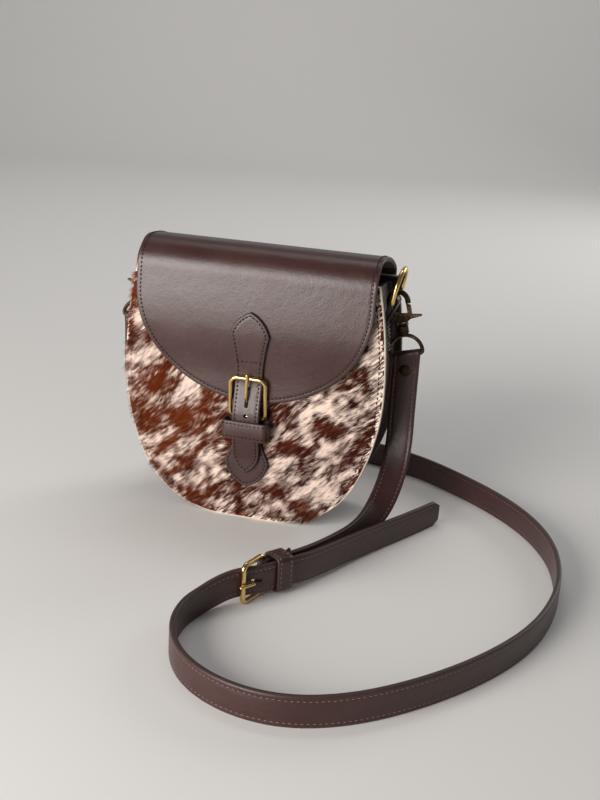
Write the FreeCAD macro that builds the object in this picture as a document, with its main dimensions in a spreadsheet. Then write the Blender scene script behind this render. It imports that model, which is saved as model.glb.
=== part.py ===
import FreeCAD, Part
import math
import os
from FreeCAD import Vector, Placement, Rotation

# Saddle handbag with a buckled flap and a shoulder strap on two snap hooks.
# Frame: X to the wearer's right as seen from the front, Y to the back, Z up, millimetres.
# Origin: on the ground, midway across the bag's width and depth.

doc = FreeCAD.newDocument("saddle_handbag")
sheet = doc.addObject("Spreadsheet::Sheet", "sizes")

SIZES = {
    # bag body
    "bag_width": 200, "bag_depth": 66, "widest_height": 113, "base_flat": 40, "lower_turn": 65,
    "side_radius": 350, "panel_top": 192, "back_drop": 4, "gusset_drop": 8, "hide_thick": 3.0,
    "gusset_thick": 2.5, "seam_margin": 7,
    # flap
    "flap_width": 179.4, "flap_above_heel": 10.8, "flap_bow": 100, "flap_corner_rise": 80.2, "flap_thick": 2.2,
    "lining_thick": 1.0, "lining_inset": 0.4, "flap_gap": 0.6, "flap_rise": 19, "front_bend": 20,
    "back_bend": 6.34, "hinge_over": 2, "root_length": 26, "root_clear": 0.3, "root_slope": 4.8,
    # closure
    "closing_thick": 2.6, "closing_width": 21, "teardrop_width": 30, "teardrop_tip": 164.5,
    "teardrop_wide_at": 147, "closing_neck": 120, "closing_drop": 45, "hole_size": 3.0, "hole_pitch": 10,
    "prong_hole_rise": 12.4, "prong_hole_long": 8.0, "step_rise": 26,
    "prong_bend_low": 4.4, "prong_bend_high": 4.8, "prong_rise": 0.6, "heel_height": 84, "heel_out": 4.8,
    "frame_length": 30.7, "frame_width": 30, "frame_wire": 3.2, "frame_corner": 5.5, "prong_wire": 2.2,
    "prong_eye_width": 3.6, "prong_eye_size": 6.2, "chape_leaf": 1.7, "chape_width": 20,
    "spade_width": 34, "spade_drop": 56.6, "spade_wide_drop": 36, "spade_neck_drop": 20, "keeper_drop": 16.4,
    "keeper_long": 14.4, "keeper_width": 35.6, "keeper_wall": 1.8, "keeper_back": 1.5, "fit": 0.3, "turning_fit": 0.15,
    # D-rings and their tabs
    "ring_out": 97, "ring_height": 177, "ring_back": 2, "ring_inner": 27, "ring_wire": 3.5, "ring_leg": 9,
    "ring_lean": 11.5, "left_ring_lean": -4, "ring_corner": 2.4, "tab_width": 12, "tab_leaf": 1.7, "tab_drop": 39,
    "tab_bend_drop": 17, "tab_gap": 0.1,
    # snap hooks
    "hook_lean": 14, "hook_wire": 4.0, "hook_inner": 10, "hook_plate": 5.2, "hook_neck": 11, "hook_shank": 15.5,
    "pivot_out": 3.2, "pivot_drop": 15, "ear_out": 6.6, "ear_rise": 2.4, "ear_in": 2.0, "plate_waist": 3.4,
    "trigger_thick": 2.4, "trigger_boss": 1.9, "gate_half": 1.5, "gate_slope": 1.5, "lever_reach": 15.6,
    "lever_root": 1.6, "lever_thick": 1.2, "trigger_room": 2.9, "trigger_under": 0.9, "pin_size": 2.0,
    "barrel_size": 8.6, "barrel_top": 21.5, "barrel_low": 27, "stem_size": 3.0, "stem_rim": 1.2,
    "stem_head": 1.4, "window_tall": 2.8, "eye_inner": 21.5, "eye_wire": 2.8, "eye_top": 28.6,
    "eye_bar": 43.4, "eye_corner": 2.2, "spring_thick": 0.4, "spring_tall": 4.2, "spring_foot": 2.6,
    # shoulder strap
    "strap_width": 20, "strap_thick": 3.6, "strap_leaf": 1.9, "strap_end_long": 25, "strap_drop": 21,
    "post_drop": 12, "post_size": 4.4, "dome_size": 9, "dome_rise": 2.4, "screw_rise": 1.0,
    "strap_frame_inner": 23, "strap_frame_wire": 3.6, "strap_frame_length": 22, "strap_frame_out": 7.4,
    "strap_pass": 6.9, "strap_keeper_start": 5.2, "strap_keeper_long": 13, "fold_long": 26,
}
for row, (alias, value) in enumerate(SIZES.items(), start=1):
    sheet.set("A%d" % row, alias)
    sheet.set("B%d" % row, str(value))
    sheet.setAlias("B%d" % row, alias)
doc.recompute()
size = {alias: float(sheet.get(alias)) for alias in SIZES}


# Cuts run past the faces they cut by this much.
OVER = 1.0


# Drawing helpers: a segment is two points of a line or three points of an arc, in a plane's own axes.

def polar(centre, radius, degrees):
    angle = math.radians(degrees)
    return (centre[0] + radius * math.cos(angle), centre[1] + radius * math.sin(angle))


def arc(centre, radius, start, end):
    return tuple(polar(centre, radius, a) for a in (start, (start + end) / 2, end))


def run(*points):
    return [(points[i], points[i + 1]) for i in range(len(points) - 1)]


def other_half(segments):
    return [tuple((-x, z) for x, z in reversed(part)) for part in reversed(segments)]


def front_plane(y):
    return lambda a, b: Vector(a, y, b)


def side_plane(x):
    return lambda a, b: Vector(x, a, b)


def trace(segments, plane):
    curves = []
    for part in segments:
        points = [plane(*p) for p in part]
        curves.append(Part.LineSegment(*points) if len(points) == 2 else Part.Arc(*points))
    return curves


def face(segments, plane):
    return Part.Face(Part.Wire([c.toShape() for c in trace(segments, plane)]))


def across(segments, y_from, y_to):
    return face(segments, front_plane(y_from)).extrude(Vector(0, y_to - y_from, 0))


def sideways(segments, x_from, x_to):
    return face(segments, side_plane(x_from)).extrude(Vector(x_to - x_from, 0, 0))


def rod(start, end, radius):
    axis = end - start
    return Part.makeCylinder(radius, axis.Length, start, axis)


def bent_rod(points, radius):
    pieces = [rod(points[i], points[i + 1], radius) for i in range(len(points) - 1)]
    pieces += [Part.makeSphere(radius, p) for p in points[1:]]
    return pieces[0].fuse(pieces[1:]).removeSplitter()


def wire_loop(segments, plane, radius, start, direction):
    path = Part.Wire([c.toShape() for c in trace(segments, plane)])
    section = Part.Wire([Part.Circle(start, direction, radius).toShape()])
    return path.makePipeShell([section], True, True)


def moved(shape, placement):
    copy = shape.copy()
    copy.Placement = placement.multiply(copy.Placement)
    return copy


def feature(label, shape):
    node = doc.addObject("Part::Feature", label)
    node.Label = label
    node.Shape = shape
    node.Placement = shape.Placement
    return node


def both_sides(name, shape):
    feature(name + "_right", shape)
    feature(name + "_left", shape.mirror(Vector(0, 0, 0), Vector(1, 0, 0)))


def padded_body(label, segments, y, thickness):
    body = doc.addObject("PartDesign::Body", label)
    body.Label = label
    sketch = body.newObject("Sketcher::SketchObject", label + "_outline")
    upright = next(o for o in body.Origin.OriginFeatures if o.Role == "XZ_Plane")
    sketch.AttachmentSupport = (upright, [""])
    sketch.MapMode = "FlatFace"
    sketch.AttachmentOffset = Placement(Vector(0, 0, -y), Rotation())
    sketch.addGeometry(trace(segments, lambda a, b: Vector(a, b, 0)), False)
    pad = body.newObject("PartDesign::Pad", label + "_pad")
    pad.Profile = sketch
    pad.setExpression("Length", "sizes." + thickness)
    pad.Reversed = True
    return body


# Heights: the bag's tops hang together, and the closure's pieces go with the heel bar.

back_top = size["panel_top"] - size["back_drop"]
gusset_top = size["panel_top"] - size["gusset_drop"]
hinge_z = back_top + size["hinge_over"]
flap_ridge = hinge_z + size["flap_rise"]
tab_low = size["ring_height"] - size["tab_drop"]
tab_bend = size["ring_height"] - size["tab_bend_drop"]
heel_z = size["heel_height"]
flap_low = heel_z + size["flap_above_heel"]
flap_straight = flap_low + size["flap_corner_rise"]
prong_hole_z = heel_z + size["prong_hole_rise"]
step_top = heel_z + size["step_rise"]
closing_end = heel_z - size["closing_drop"]
keeper_low = heel_z - size["keeper_drop"]
keeper_high = keeper_low + size["keeper_long"]
spade_low = heel_z - size["spade_drop"]
spade_at = heel_z - size["spade_wide_drop"]
spade_neck = heel_z - size["spade_neck_drop"]


# Layers of the closure, counted outwards from the front panel's face.

flap_out = size["flap_gap"] + size["lining_thick"] + size["flap_thick"]
closing_out = flap_out + size["closing_thick"]
heel_loop = size["frame_wire"] / 2 + size["turning_fit"] + size["chape_leaf"]
closing_over = size["heel_out"] + heel_loop + size["fit"]
keeper_inside = closing_over + size["closing_thick"] + size["fit"]
stack = keeper_inside + size["keeper_wall"]
top_bar_out = closing_out + size["fit"] + size["frame_wire"] / 2
prong_over = top_bar_out + (size["frame_wire"] + size["prong_wire"]) / 2 + size["turning_fit"]

front_y = stack - (stack + size["bag_depth"] + size["flap_thick"]) / 2
back_y = front_y + size["bag_depth"]
inner_front = front_y + size["hide_thick"]
inner_back = back_y - size["hide_thick"]


def out(distance):
    return front_y - distance


# Body: the panels' outline is a flat base, two arcs a side up to the widest height and a long arc above it.

half = size["bag_width"] / 2
base_half = size["base_flat"] / 2
turn = math.radians(size["lower_turn"])
arc_step = (size["widest_height"] - half + base_half) / (math.cos(turn) + math.sin(turn) - 1)
low_radius = size["widest_height"] - math.cos(turn) * arc_step
mid_radius = low_radius + arc_step


def side_at(height, inset):
    radius = size["side_radius"] - inset
    return half - size["side_radius"] + math.sqrt(radius ** 2 - (height - size["widest_height"]) ** 2)


def bag_outline(inset, top):
    low_centre = (base_half, low_radius)
    mid_centre = (half - mid_radius, size["widest_height"])
    side_centre = (half - size["side_radius"], size["widest_height"])
    side_arc = size["side_radius"] - inset
    top_angle = math.degrees(math.asin((top - size["widest_height"]) / side_arc))
    right = [
        arc(low_centre, low_radius - inset, -90, size["lower_turn"] - 90),
        arc(mid_centre, mid_radius - inset, size["lower_turn"] - 90, 0),
        arc(side_centre, side_arc, 0, top_angle),
    ]
    corner = right[-1][-1]
    base = [((-base_half, inset), (base_half, inset))]
    lid = [(corner, (-corner[0], corner[1]))]
    return base + right + lid + other_half(right)


padded_body("front_panel", bag_outline(0, size["panel_top"]), front_y, "hide_thick")
padded_body("back_panel", bag_outline(0, back_top), inner_back, "hide_thick")

wall = size["seam_margin"] + size["gusset_thick"]
web = across(bag_outline(size["seam_margin"], gusset_top), inner_front, inner_back)
front_flange = across(bag_outline(0, gusset_top), inner_front, inner_front + size["gusset_thick"])
back_flange = across(bag_outline(0, gusset_top), inner_back - size["gusset_thick"], inner_back)
room = across(bag_outline(wall, gusset_top + size["seam_margin"]), front_y, back_y)
feature("gusset", web.fuse([front_flange, back_flange]).cut(room).removeSplitter())

# Flap: one band of leather from the front, over the ridge, to a round nose on the hinge line at the back.

hinge_y = back_y + size["flap_thick"] / 2
front_skin = out(flap_out)
front_centre = (front_skin + size["front_bend"], flap_ridge - size["front_bend"])
reach = back_y + size["flap_thick"] - front_centre[0]
back_bend = size["back_bend"]
rise = size["flap_rise"]
top_bend = (reach ** 2 + rise ** 2 - 2 * back_bend * reach) / (2 * (rise - back_bend))
top_centre = (front_centre[0], flap_ridge - top_bend)
back_centre = (back_y + size["flap_thick"] - back_bend, hinge_z)
meet = math.degrees(math.atan2(back_centre[1] - top_centre[1], back_centre[0] - top_centre[0]))


def flap_line(depth):
    start = (front_skin + depth, flap_low - size["flap_thick"])
    bend = arc(front_centre, size["front_bend"] - depth, 180, 90)
    return [(start, bend[0]), bend, arc(top_centre, top_bend - depth, 90, meet)]


def band(outer, inner, end):
    back = [tuple(reversed(part)) for part in reversed(inner)]
    return outer + end + back + [(inner[0][0], outer[0][0])]


flap_half = size["flap_width"] / 2
bow_centre = (0, flap_low + size["flap_bow"])
bow_drop = bow_centre[1] - flap_straight
corner_radius = ((size["flap_bow"] ** 2 - flap_half ** 2 - bow_drop ** 2)
                 / (2 * (size["flap_bow"] - flap_half)))
corner_centre = (flap_half - corner_radius, flap_straight)
bow_meet = math.degrees(math.atan2(corner_centre[1] - bow_centre[1], corner_centre[0]))


def flap_outline(inset):
    high = flap_ridge + size["front_bend"]
    right = [arc(corner_centre, corner_radius - inset, bow_meet, 0)]
    right.append(((flap_half - inset, flap_straight), (flap_half - inset, high)))
    bow = [arc(bow_centre, size["flap_bow"] - inset, -180 - bow_meet, bow_meet)]
    return bow + right + [((flap_half - inset, high), (inset - flap_half, high))] + other_half(right)


hinge_arc = [arc(back_centre, back_bend, meet, 0), arc(back_centre, back_bend - size["flap_thick"], meet, 0)]
nose = (hinge_arc[0][-1], (hinge_y, hinge_z - size["flap_thick"] / 2), hinge_arc[1][-1])
flap_band = band(flap_line(0) + hinge_arc[:1], flap_line(size["flap_thick"]) + hinge_arc[1:], [nose])
flap_trim = across(flap_outline(0), out(stack), back_y + size["flap_thick"])
flap_shape = sideways(flap_band, -flap_half, flap_half).common(flap_trim)
feature("flap", flap_shape)

lining_line = [flap_line(size["flap_thick"]), flap_line(size["flap_thick"] + size["lining_thick"])]
lining_end = [(lining_line[0][-1][-1], lining_line[1][-1][-1])]
lining_trim = across(flap_outline(size["lining_inset"]), out(stack), back_y)
lining_band = sideways(band(lining_line[0], lining_line[1], lining_end), -flap_half, flap_half)
feature("flap_lining", lining_band.common(lining_trim))

root_top = hinge_z - size["flap_thick"] / 2 - size["root_clear"]
root_low = hinge_z - size["root_length"]
root_outline = run((back_y, root_low), (back_y + size["flap_thick"], root_low),
                   (back_y + size["flap_thick"], hinge_z - size["root_slope"]),
                   (hinge_y, root_top), (back_y, root_top), (back_y, root_low))
feature("flap_root", sideways(root_outline, -flap_half, flap_half))

# Closing strap: sewn flat on the flap, stepping out over the heel loop and back in under the keeper.

closing_half = size["closing_width"] / 2
teardrop_half = size["teardrop_width"] / 2
wide_at = size["teardrop_wide_at"]
tip = size["teardrop_tip"]
step_low = heel_z + size["frame_wire"] + size["fit"]
lower_step = heel_z - size["frame_wire"]
rest_step = spade_at + size["closing_thick"]
spade_out = 2 * size["chape_leaf"]
closing_rest = spade_out + size["fit"]
inner_side = [(flap_out, tip + OVER), (flap_out, step_top), (closing_over, step_low),
              (closing_over, lower_step), (closing_rest, rest_step),
              (closing_rest, closing_end - OVER)]
closing_profile = [(out(d), z) for d, z in inner_side]
closing_profile += [(out(d + size["closing_thick"]), z) for d, z in reversed(inner_side)]
closing_profile.append(closing_profile[0])

# Where an arc passes between its ends, as shares of its width and its height.
TAIL_ROUND = (0.74, 0.34)
TIP_ROUND = (0.71, 0.66)
SPADE_ROUND = (0.7, 0.3)
SPADE_NECK = 0.86
NECK_HOLLOW = 0.6

tail = closing_end
shoulder = tail + closing_half
closing_right = [
    ((0, tail), (TAIL_ROUND[0] * closing_half, tail + TAIL_ROUND[1] * closing_half), (closing_half, shoulder)),
    ((closing_half, shoulder), (closing_half, size["closing_neck"])),
    ((closing_half, size["closing_neck"]),
     ((closing_half + teardrop_half) / 2 - NECK_HOLLOW, (size["closing_neck"] + wide_at) / 2),
     (teardrop_half, wide_at)),
    ((teardrop_half, wide_at), (TIP_ROUND[0] * teardrop_half, wide_at + TIP_ROUND[1] * (tip - wide_at)),
     (0, tip)),
]
closing = sideways(run(*closing_profile), -teardrop_half - OVER, teardrop_half + OVER)
closing = closing.common(across(closing_right + other_half(closing_right), out(stack), front_y))
hole_heights = [prong_hole_z + size["hole_pitch"] * k for k in (-2, -1, 1)]
punches = [rod(Vector(0, front_y, z), Vector(0, out(stack), z), size["hole_size"] / 2) for z in hole_heights]
slot_half = (size["prong_hole_long"] - size["hole_size"]) / 2
slot_low = (0, prong_hole_z - slot_half)
slot_high = (0, prong_hole_z + slot_half)
slot_radius = size["hole_size"] / 2
slot_right = [arc(slot_low, slot_radius, -90, 0),
              (polar(slot_low, slot_radius, 0), polar(slot_high, slot_radius, 0)),
              arc(slot_high, slot_radius, 0, 90)]
punches.append(across(slot_right + other_half(slot_right), out(stack), front_y))
feature("closing_strap", closing.cut(punches))

# Chape: two leaves sewn together, a spade-shaped end below and a loop for the heel bar above.

heel = (out(size["heel_out"]), heel_z)
chape_half = size["chape_width"] / 2
spade_half = size["spade_width"] / 2
loop_back = size["heel_out"] - heel_loop
loop_front = size["heel_out"] + heel_loop
chape_side = [(0, spade_low - OVER), (0, heel_z - heel_loop), (loop_back, heel_z),
              (loop_front, heel_z), (spade_out, spade_neck), (spade_out, spade_low - OVER)]
chape_profile = [(out(d), z) for d, z in chape_side]
chape_profile.append(chape_profile[0])
chape_right = [
    ((0, spade_low), (SPADE_ROUND[0] * spade_half, spade_low + SPADE_ROUND[1] * (spade_at - spade_low)),
     (spade_half, spade_at)),
    ((spade_half, spade_at), (SPADE_NECK * spade_half, (2 * spade_at + spade_neck) / 3),
     (chape_half, spade_neck)),
    ((chape_half, spade_neck), (chape_half, heel_z + heel_loop)),
]
chape_top = [((chape_half, heel_z + heel_loop), (-chape_half, heel_z + heel_loop))]
chape = sideways(run(*chape_profile), -spade_half - OVER, spade_half + OVER)
chape_trim = chape_right + chape_top + other_half(chape_right)
chape = chape.common(across(chape_trim, out(stack), front_y))
heel_start = Vector(-chape_half, *heel)
heel_end = Vector(chape_half, *heel)
chape = chape.fuse(rod(heel_start, heel_end, heel_loop)).removeSplitter()
heel_bore = rod(Vector(-half, *heel), Vector(half, *heel), size["frame_wire"] / 2 + size["turning_fit"])
prong_slot = Part.makeBox(size["prong_eye_width"] + 2 * size["fit"], stack, 2 * heel_loop + size["fit"],
                          Vector(-size["prong_eye_width"] / 2 - size["fit"], out(stack),
                                 heel_z - heel_loop - size["fit"]))
keeper_groove = Part.makeBox(size["spade_width"], size["keeper_back"] + size["tab_gap"],
                             keeper_high - keeper_low + 2 * size["fit"],
                             Vector(-spade_half, out(size["keeper_back"] + size["tab_gap"]),
                                    keeper_low - size["fit"]))
feature("buckle_chape", chape.cut([heel_bore, prong_slot, keeper_groove]))

# Keeper: a band of leather all the way round the chape and the closing strap.


def rounded_box(half_x, y_from, y_to, z_from, z_to, radius):
    box = Part.makeBox(2 * half_x, y_to - y_from, z_to - z_from, Vector(-half_x, y_from, z_from))
    upright = [e for e in box.Edges if abs(e.tangentAt(e.FirstParameter).z) > 0.9]
    return box.makeFillet(radius, upright)


keeper_half = size["keeper_width"] / 2
keeper_round = 2 * size["keeper_wall"]
keeper = rounded_box(keeper_half, out(stack), front_y, keeper_low, keeper_high, keeper_round)
keeper_hole = rounded_box(keeper_half - size["keeper_wall"], out(keeper_inside), out(size["keeper_back"]),
                          keeper_low - OVER, keeper_high + OVER, size["keeper_wall"])
feature("closure_keeper", keeper.cut(keeper_hole))

# Buckle frame and prong: drawn upright from the heel bar, then leant out with the closing strap.


def buckle_frame(half_width, length, wire, corner):
    right = [
        ((0, 0), (half_width - wire, 0)),
        arc((half_width - wire, wire), wire, -90, 0),
        ((half_width, wire), (half_width, length - corner)),
        arc((half_width - corner, length - corner), corner, 0, 90),
        ((half_width - corner, length), (0, length)),
    ]
    return wire_loop(right + other_half(right), front_plane(0), wire / 2, Vector(0, 0, 0), Vector(1, 0, 0))


def ring_eye(width, outer, inner):
    start = Vector(-width / 2, 0, 0)
    end = Vector(width / 2, 0, 0)
    return rod(start, end, outer), rod(start, end, inner)


frame_half = (size["frame_width"] - size["frame_wire"]) / 2
frame_lean = math.degrees(math.asin((top_bar_out - size["heel_out"]) / size["frame_length"]))
frame_place = Placement(Vector(0, *heel), Rotation(Vector(1, 0, 0), frame_lean))
frame = buckle_frame(frame_half, size["frame_length"], size["frame_wire"], size["frame_corner"])
feature("closure_buckle", moved(frame, frame_place))

top_bar_z = heel_z + size["frame_length"] * math.cos(math.radians(frame_lean))
bend_low = (size["heel_out"] + size["prong_rise"], prong_hole_z - size["prong_bend_low"])
bend_high = (prong_over - size["turning_fit"], prong_hole_z + size["prong_bend_high"])
prong_line = [(size["heel_out"], heel_z), bend_low, bend_high,
              (prong_over, top_bar_z + size["frame_wire"])]
prong_shape = bent_rod([Vector(0, out(d), z) for d, z in prong_line], size["prong_wire"] / 2)
eye_body, eye_bore = ring_eye(size["prong_eye_width"], size["prong_eye_size"] / 2,
                              size["frame_wire"] / 2 + size["turning_fit"])
at_heel = Placement(Vector(0, *heel), Rotation())
prong_shape = prong_shape.fuse(moved(eye_body, at_heel)).cut(moved(eye_bore, at_heel)).removeSplitter()
feature("closure_prong", prong_shape)

# D-ring and its tab on the right side; the left side is their mirror image, with its ring pushed upright.

ring_radius = size["ring_wire"] / 2
ring_half = size["ring_inner"] / 2 + ring_radius
ring_corner = size["ring_corner"]
ring_right = [
    ((0, 0), (ring_half - ring_corner, 0)),
    arc((ring_half - ring_corner, ring_corner), ring_corner, -90, 0),
    ((ring_half, ring_corner), (ring_half, size["ring_leg"])),
    arc((0, size["ring_leg"]), ring_half, 0, 90),
]
ring_path = ring_right + other_half(ring_right)
ring = wire_loop(ring_path, side_plane(0), ring_radius, Vector(0, 0, 0), Vector(0, 1, 0))
ring_centre = Vector(size["ring_out"], size["ring_back"], size["ring_height"])
feature("d_ring_right", moved(ring, Placement(ring_centre, Rotation(Vector(0, 1, 0), size["ring_lean"]))))
left_centre = Vector(-ring_centre.x, ring_centre.y, ring_centre.z)
feature("d_ring_left", moved(ring, Placement(left_centre, Rotation(Vector(0, -1, 0), size["left_ring_lean"]))))

tab_loop = ring_radius + size["turning_fit"] + size["tab_leaf"]
tab_inset = size["seam_margin"] - size["tab_gap"]
tab_both = 2 * size["tab_leaf"]
tab_mid = (tab_low + tab_bend) / 2
tab_heights = (tab_low, tab_mid, tab_bend)
tab_inner = tuple((side_at(z, tab_inset), z) for z in tab_heights)
tab_outer = tuple((side_at(z, tab_inset - tab_both), z) for z in reversed(tab_heights))
tab_shift = size["ring_out"] - tab_inner[-1][0] - tab_both / 2
tab_lean = math.atan2(tab_shift, size["ring_height"] - tab_bend)
lean_degrees = math.degrees(tab_lean)
loop_centre = (size["ring_out"], size["ring_height"])
loop_in = polar(loop_centre, tab_loop, 180 - lean_degrees)
loop_out = polar(loop_centre, tab_loop, -lean_degrees)
tab_outline = [tab_inner, (tab_inner[-1], loop_in), (loop_in, loop_out), (loop_out, tab_outer[0]), tab_outer,
               (tab_outer[-1], tab_inner[0])]
tab_front = size["ring_back"] - size["tab_width"] / 2
tab_back = size["ring_back"] + size["tab_width"] / 2
bar_front = Vector(size["ring_out"], tab_front, size["ring_height"])
bar_back = Vector(size["ring_out"], tab_back, size["ring_height"])
tab = across(tab_outline, tab_front, tab_back).fuse(rod(bar_front, bar_back, tab_loop)).removeSplitter()
both_sides("ring_tab", tab.cut(rod(bar_front, bar_back, ring_radius + size["turning_fit"])))

# Snap hook: drawn upright with the D-ring's bar at its origin, then leant out on that bar.

hook_y = size["ring_back"] + (size["tab_width"] + size["ring_inner"]) / 4
hook_place = Placement(Vector(size["ring_out"], hook_y, size["ring_height"]),
                       Rotation(Vector(0, 1, 0), -size["hook_lean"]))
hook_radius = size["hook_wire"] / 2
bow_radius = size["hook_inner"] / 2 + hook_radius
bow_z = ring_radius + size["fit"] - size["hook_inner"] / 2
nose_z = bow_z - hook_radius
neck_z = -size["hook_neck"]
plate_half = size["hook_plate"] / 2
barrel_half = size["barrel_size"] / 2
barrel_top = -size["barrel_top"]
pivot_x = size["pivot_out"]
pivot_z = -size["pivot_drop"]
pivot_front = Vector(pivot_x, -plate_half, pivot_z)
pivot_back = Vector(pivot_x, plate_half, pivot_z)
shank_out = -bow_radius - hook_radius
ear_top = pivot_z + size["ear_rise"]

bow_path = [((-bow_radius, neck_z - hook_radius), (-bow_radius, bow_z)), arc((0, bow_z), bow_radius, 180, 0),
            ((bow_radius, bow_z), (bow_radius, nose_z))]
bow_start = Vector(-bow_radius, 0, neck_z - hook_radius)
bow = wire_loop(bow_path, front_plane(0), hook_radius, bow_start, Vector(0, 0, 1))
plate = run((shank_out, neck_z), (hook_radius - bow_radius, neck_z), (size["ear_in"], ear_top),
            (size["ear_out"], ear_top), (size["ear_out"], pivot_z - size["ear_rise"]),
            (barrel_half, barrel_top + size["plate_waist"]), (barrel_half, barrel_top),
            (-barrel_half, barrel_top), (-barrel_half, barrel_top + hook_radius),
            (shank_out, -size["hook_shank"]), (shank_out, neck_z))
plate_solid = across(plate, -plate_half, plate_half)
barrel_end = Vector(0, 0, -size["barrel_low"])
barrel = rod(barrel_end, Vector(0, 0, barrel_top), barrel_half)
stem_half = size["stem_size"] / 2
head_half = stem_half + size["stem_rim"]
stem_bore = rod(barrel_end, Vector(0, 0, barrel_top + OVER), stem_half + size["turning_fit"])
window_half = head_half + size["fit"]
window = Part.makeBox(2 * window_half, size["hook_plate"], size["window_tall"],
                      Vector(-window_half, -plate_half, barrel_top))
slot_gap = size["trigger_thick"] / 2 + size["fit"]
slot_start = pivot_x - size["trigger_boss"] - size["trigger_room"]
slot_under = pivot_z - size["trigger_boss"] - size["trigger_under"]
trigger_slot = Part.makeBox(size["ear_out"] + OVER - slot_start, 2 * slot_gap, neck_z + OVER - slot_under,
                            Vector(slot_start, -slot_gap, slot_under))
pin_bore = rod(pivot_front, pivot_back, size["pin_size"] / 2)
hook = bow.fuse([plate_solid, barrel]).cut([stem_bore, window, trigger_slot, pin_bore]).removeSplitter()
both_sides("hook_body", moved(hook, hook_place))

boss = size["trigger_boss"]
gate_in = bow_radius - size["gate_half"]
gate_out = bow_radius + size["gate_half"]
gate_top = nose_z - size["fit"]
lever_half = size["lever_thick"] / 2
trigger_outline = run((gate_in, gate_top), (gate_out, gate_top - size["gate_slope"]),
                      (gate_out, pivot_z + size["lever_root"]), (size["lever_reach"], pivot_z + lever_half),
                      (size["lever_reach"], pivot_z - lever_half), (gate_out, pivot_z - size["lever_root"]),
                      (pivot_x + boss, pivot_z - boss), (pivot_x - boss, pivot_z - boss),
                      (pivot_x - boss, pivot_z), (pivot_x, pivot_z + boss),
                      (gate_in, ear_top + lever_half), (gate_in, gate_top))
trigger = across(trigger_outline, -size["trigger_thick"] / 2, size["trigger_thick"] / 2)
trigger = trigger.cut(rod(pivot_front, pivot_back, size["pin_size"] / 2 + size["turning_fit"]))
both_sides("hook_trigger", moved(trigger, hook_place))

for side, sign in (("right", 1), ("left", -1)):
    pin = doc.addObject("Part::Cylinder", "trigger_pin_" + side)
    pin.Label = "trigger_pin_" + side
    pin.setExpression("Radius", "sizes.pin_size / 2")
    pin.setExpression("Height", "sizes.hook_plate")
    start = hook_place.multVec(pivot_front)
    to_back = Rotation(Vector(0, 0, 1), Vector(0, 1, 0))
    pin.Placement = Placement(Vector(sign * start.x, start.y, start.z), to_back)

strip_half = size["trigger_thick"] / 2
spring_at = Vector(slot_start, -strip_half, slot_under)
spring = Part.makeBox(size["spring_thick"], size["trigger_thick"], size["spring_tall"], spring_at)
spring_foot = Part.makeBox(size["spring_foot"], size["trigger_thick"], size["spring_thick"], spring_at)
both_sides("trigger_spring", moved(spring.fuse(spring_foot).removeSplitter(), hook_place))

eye_radius = size["eye_wire"] / 2
eye_half = size["eye_inner"] / 2 + eye_radius
eye_corner = size["eye_corner"]
crown_centre = (0, -size["eye_top"] - eye_half)
eye_right = [
    ((0, -size["eye_bar"]), (eye_half - eye_corner, -size["eye_bar"])),
    arc((eye_half - eye_corner, eye_corner - size["eye_bar"]), eye_corner, -90, 0),
    ((eye_half, eye_corner - size["eye_bar"]), (eye_half, crown_centre[1])),
    arc(crown_centre, eye_half, 0, 90),
]
eye_loop = wire_loop(eye_right + other_half(eye_right), front_plane(0), eye_radius,
                     Vector(0, 0, -size["eye_bar"]), Vector(1, 0, 0))
head_z = barrel_top + size["turning_fit"]
stem_end = Vector(0, 0, head_z + size["stem_head"])
stem = rod(Vector(0, 0, -size["eye_top"]), stem_end, stem_half)
stem_head = rod(Vector(0, 0, head_z), stem_end, head_half)
collar = rod(Vector(0, 0, -size["eye_top"]), Vector(0, 0, -size["barrel_low"] - size["turning_fit"]), head_half)
both_sides("swivel_eye", moved(eye_loop.fuse([stem, stem_head, collar]).removeSplitter(), hook_place))

# Strap end: folded through the eye and hanging straight down from its bar, held by a two-part post.

eye_bar_at = hook_place.multVec(Vector(0, 0, -size["eye_bar"]))
fold_bore = eye_radius + size["turning_fit"]
fold_radius = fold_bore + size["strap_leaf"]
strap_half = size["strap_width"] / 2
leaf_half = size["strap_thick"] / 2
pinch_z = -size["post_drop"] + size["dome_size"] / 2
end_low = -size["strap_end_long"]
bar_way = hook_place.Rotation.multVec(Vector(1, 0, 0))
bar_end = bar_way * (strap_half / bar_way.x)


def oblong(middle, half_length, half_depth):
    deep = Vector(0, half_depth, 0)
    corners = [half_length + deep, deep - half_length, -half_length - deep, half_length - deep]
    return Part.makePolygon([middle + c for c in corners] + [middle + corners[0]])


across_end = Vector(strap_half, 0, 0)
end_fold = Part.makeLoft([oblong(Vector(0, 0, 0), bar_end, fold_radius),
                          oblong(Vector(0, 0, pinch_z), across_end, leaf_half)], True, True)
end_leaves = Part.makeBox(size["strap_width"], size["strap_thick"], pinch_z - end_low,
                          Vector(-strap_half, -leaf_half, end_low))
end_width = Part.makeBox(size["strap_width"], 2 * fold_radius, 2 * size["strap_end_long"],
                         Vector(-strap_half, -fold_radius, end_low))
end_roll = rod(bar_end * -2, bar_end * 2, fold_radius).common(end_width)
end_bore = rod(bar_end * -2, bar_end * 2, fold_bore)
post_at = Vector(0, 0, -size["post_drop"])
post_bore = rod(post_at - Vector(0, fold_radius, 0), post_at + Vector(0, fold_radius, 0), size["post_size"] / 2)
end_place = Placement(eye_bar_at, Rotation())
end_solid = end_fold.fuse([end_leaves, end_roll]).cut([end_bore, post_bore]).removeSplitter()
both_sides("strap_end", moved(end_solid, end_place))

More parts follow.
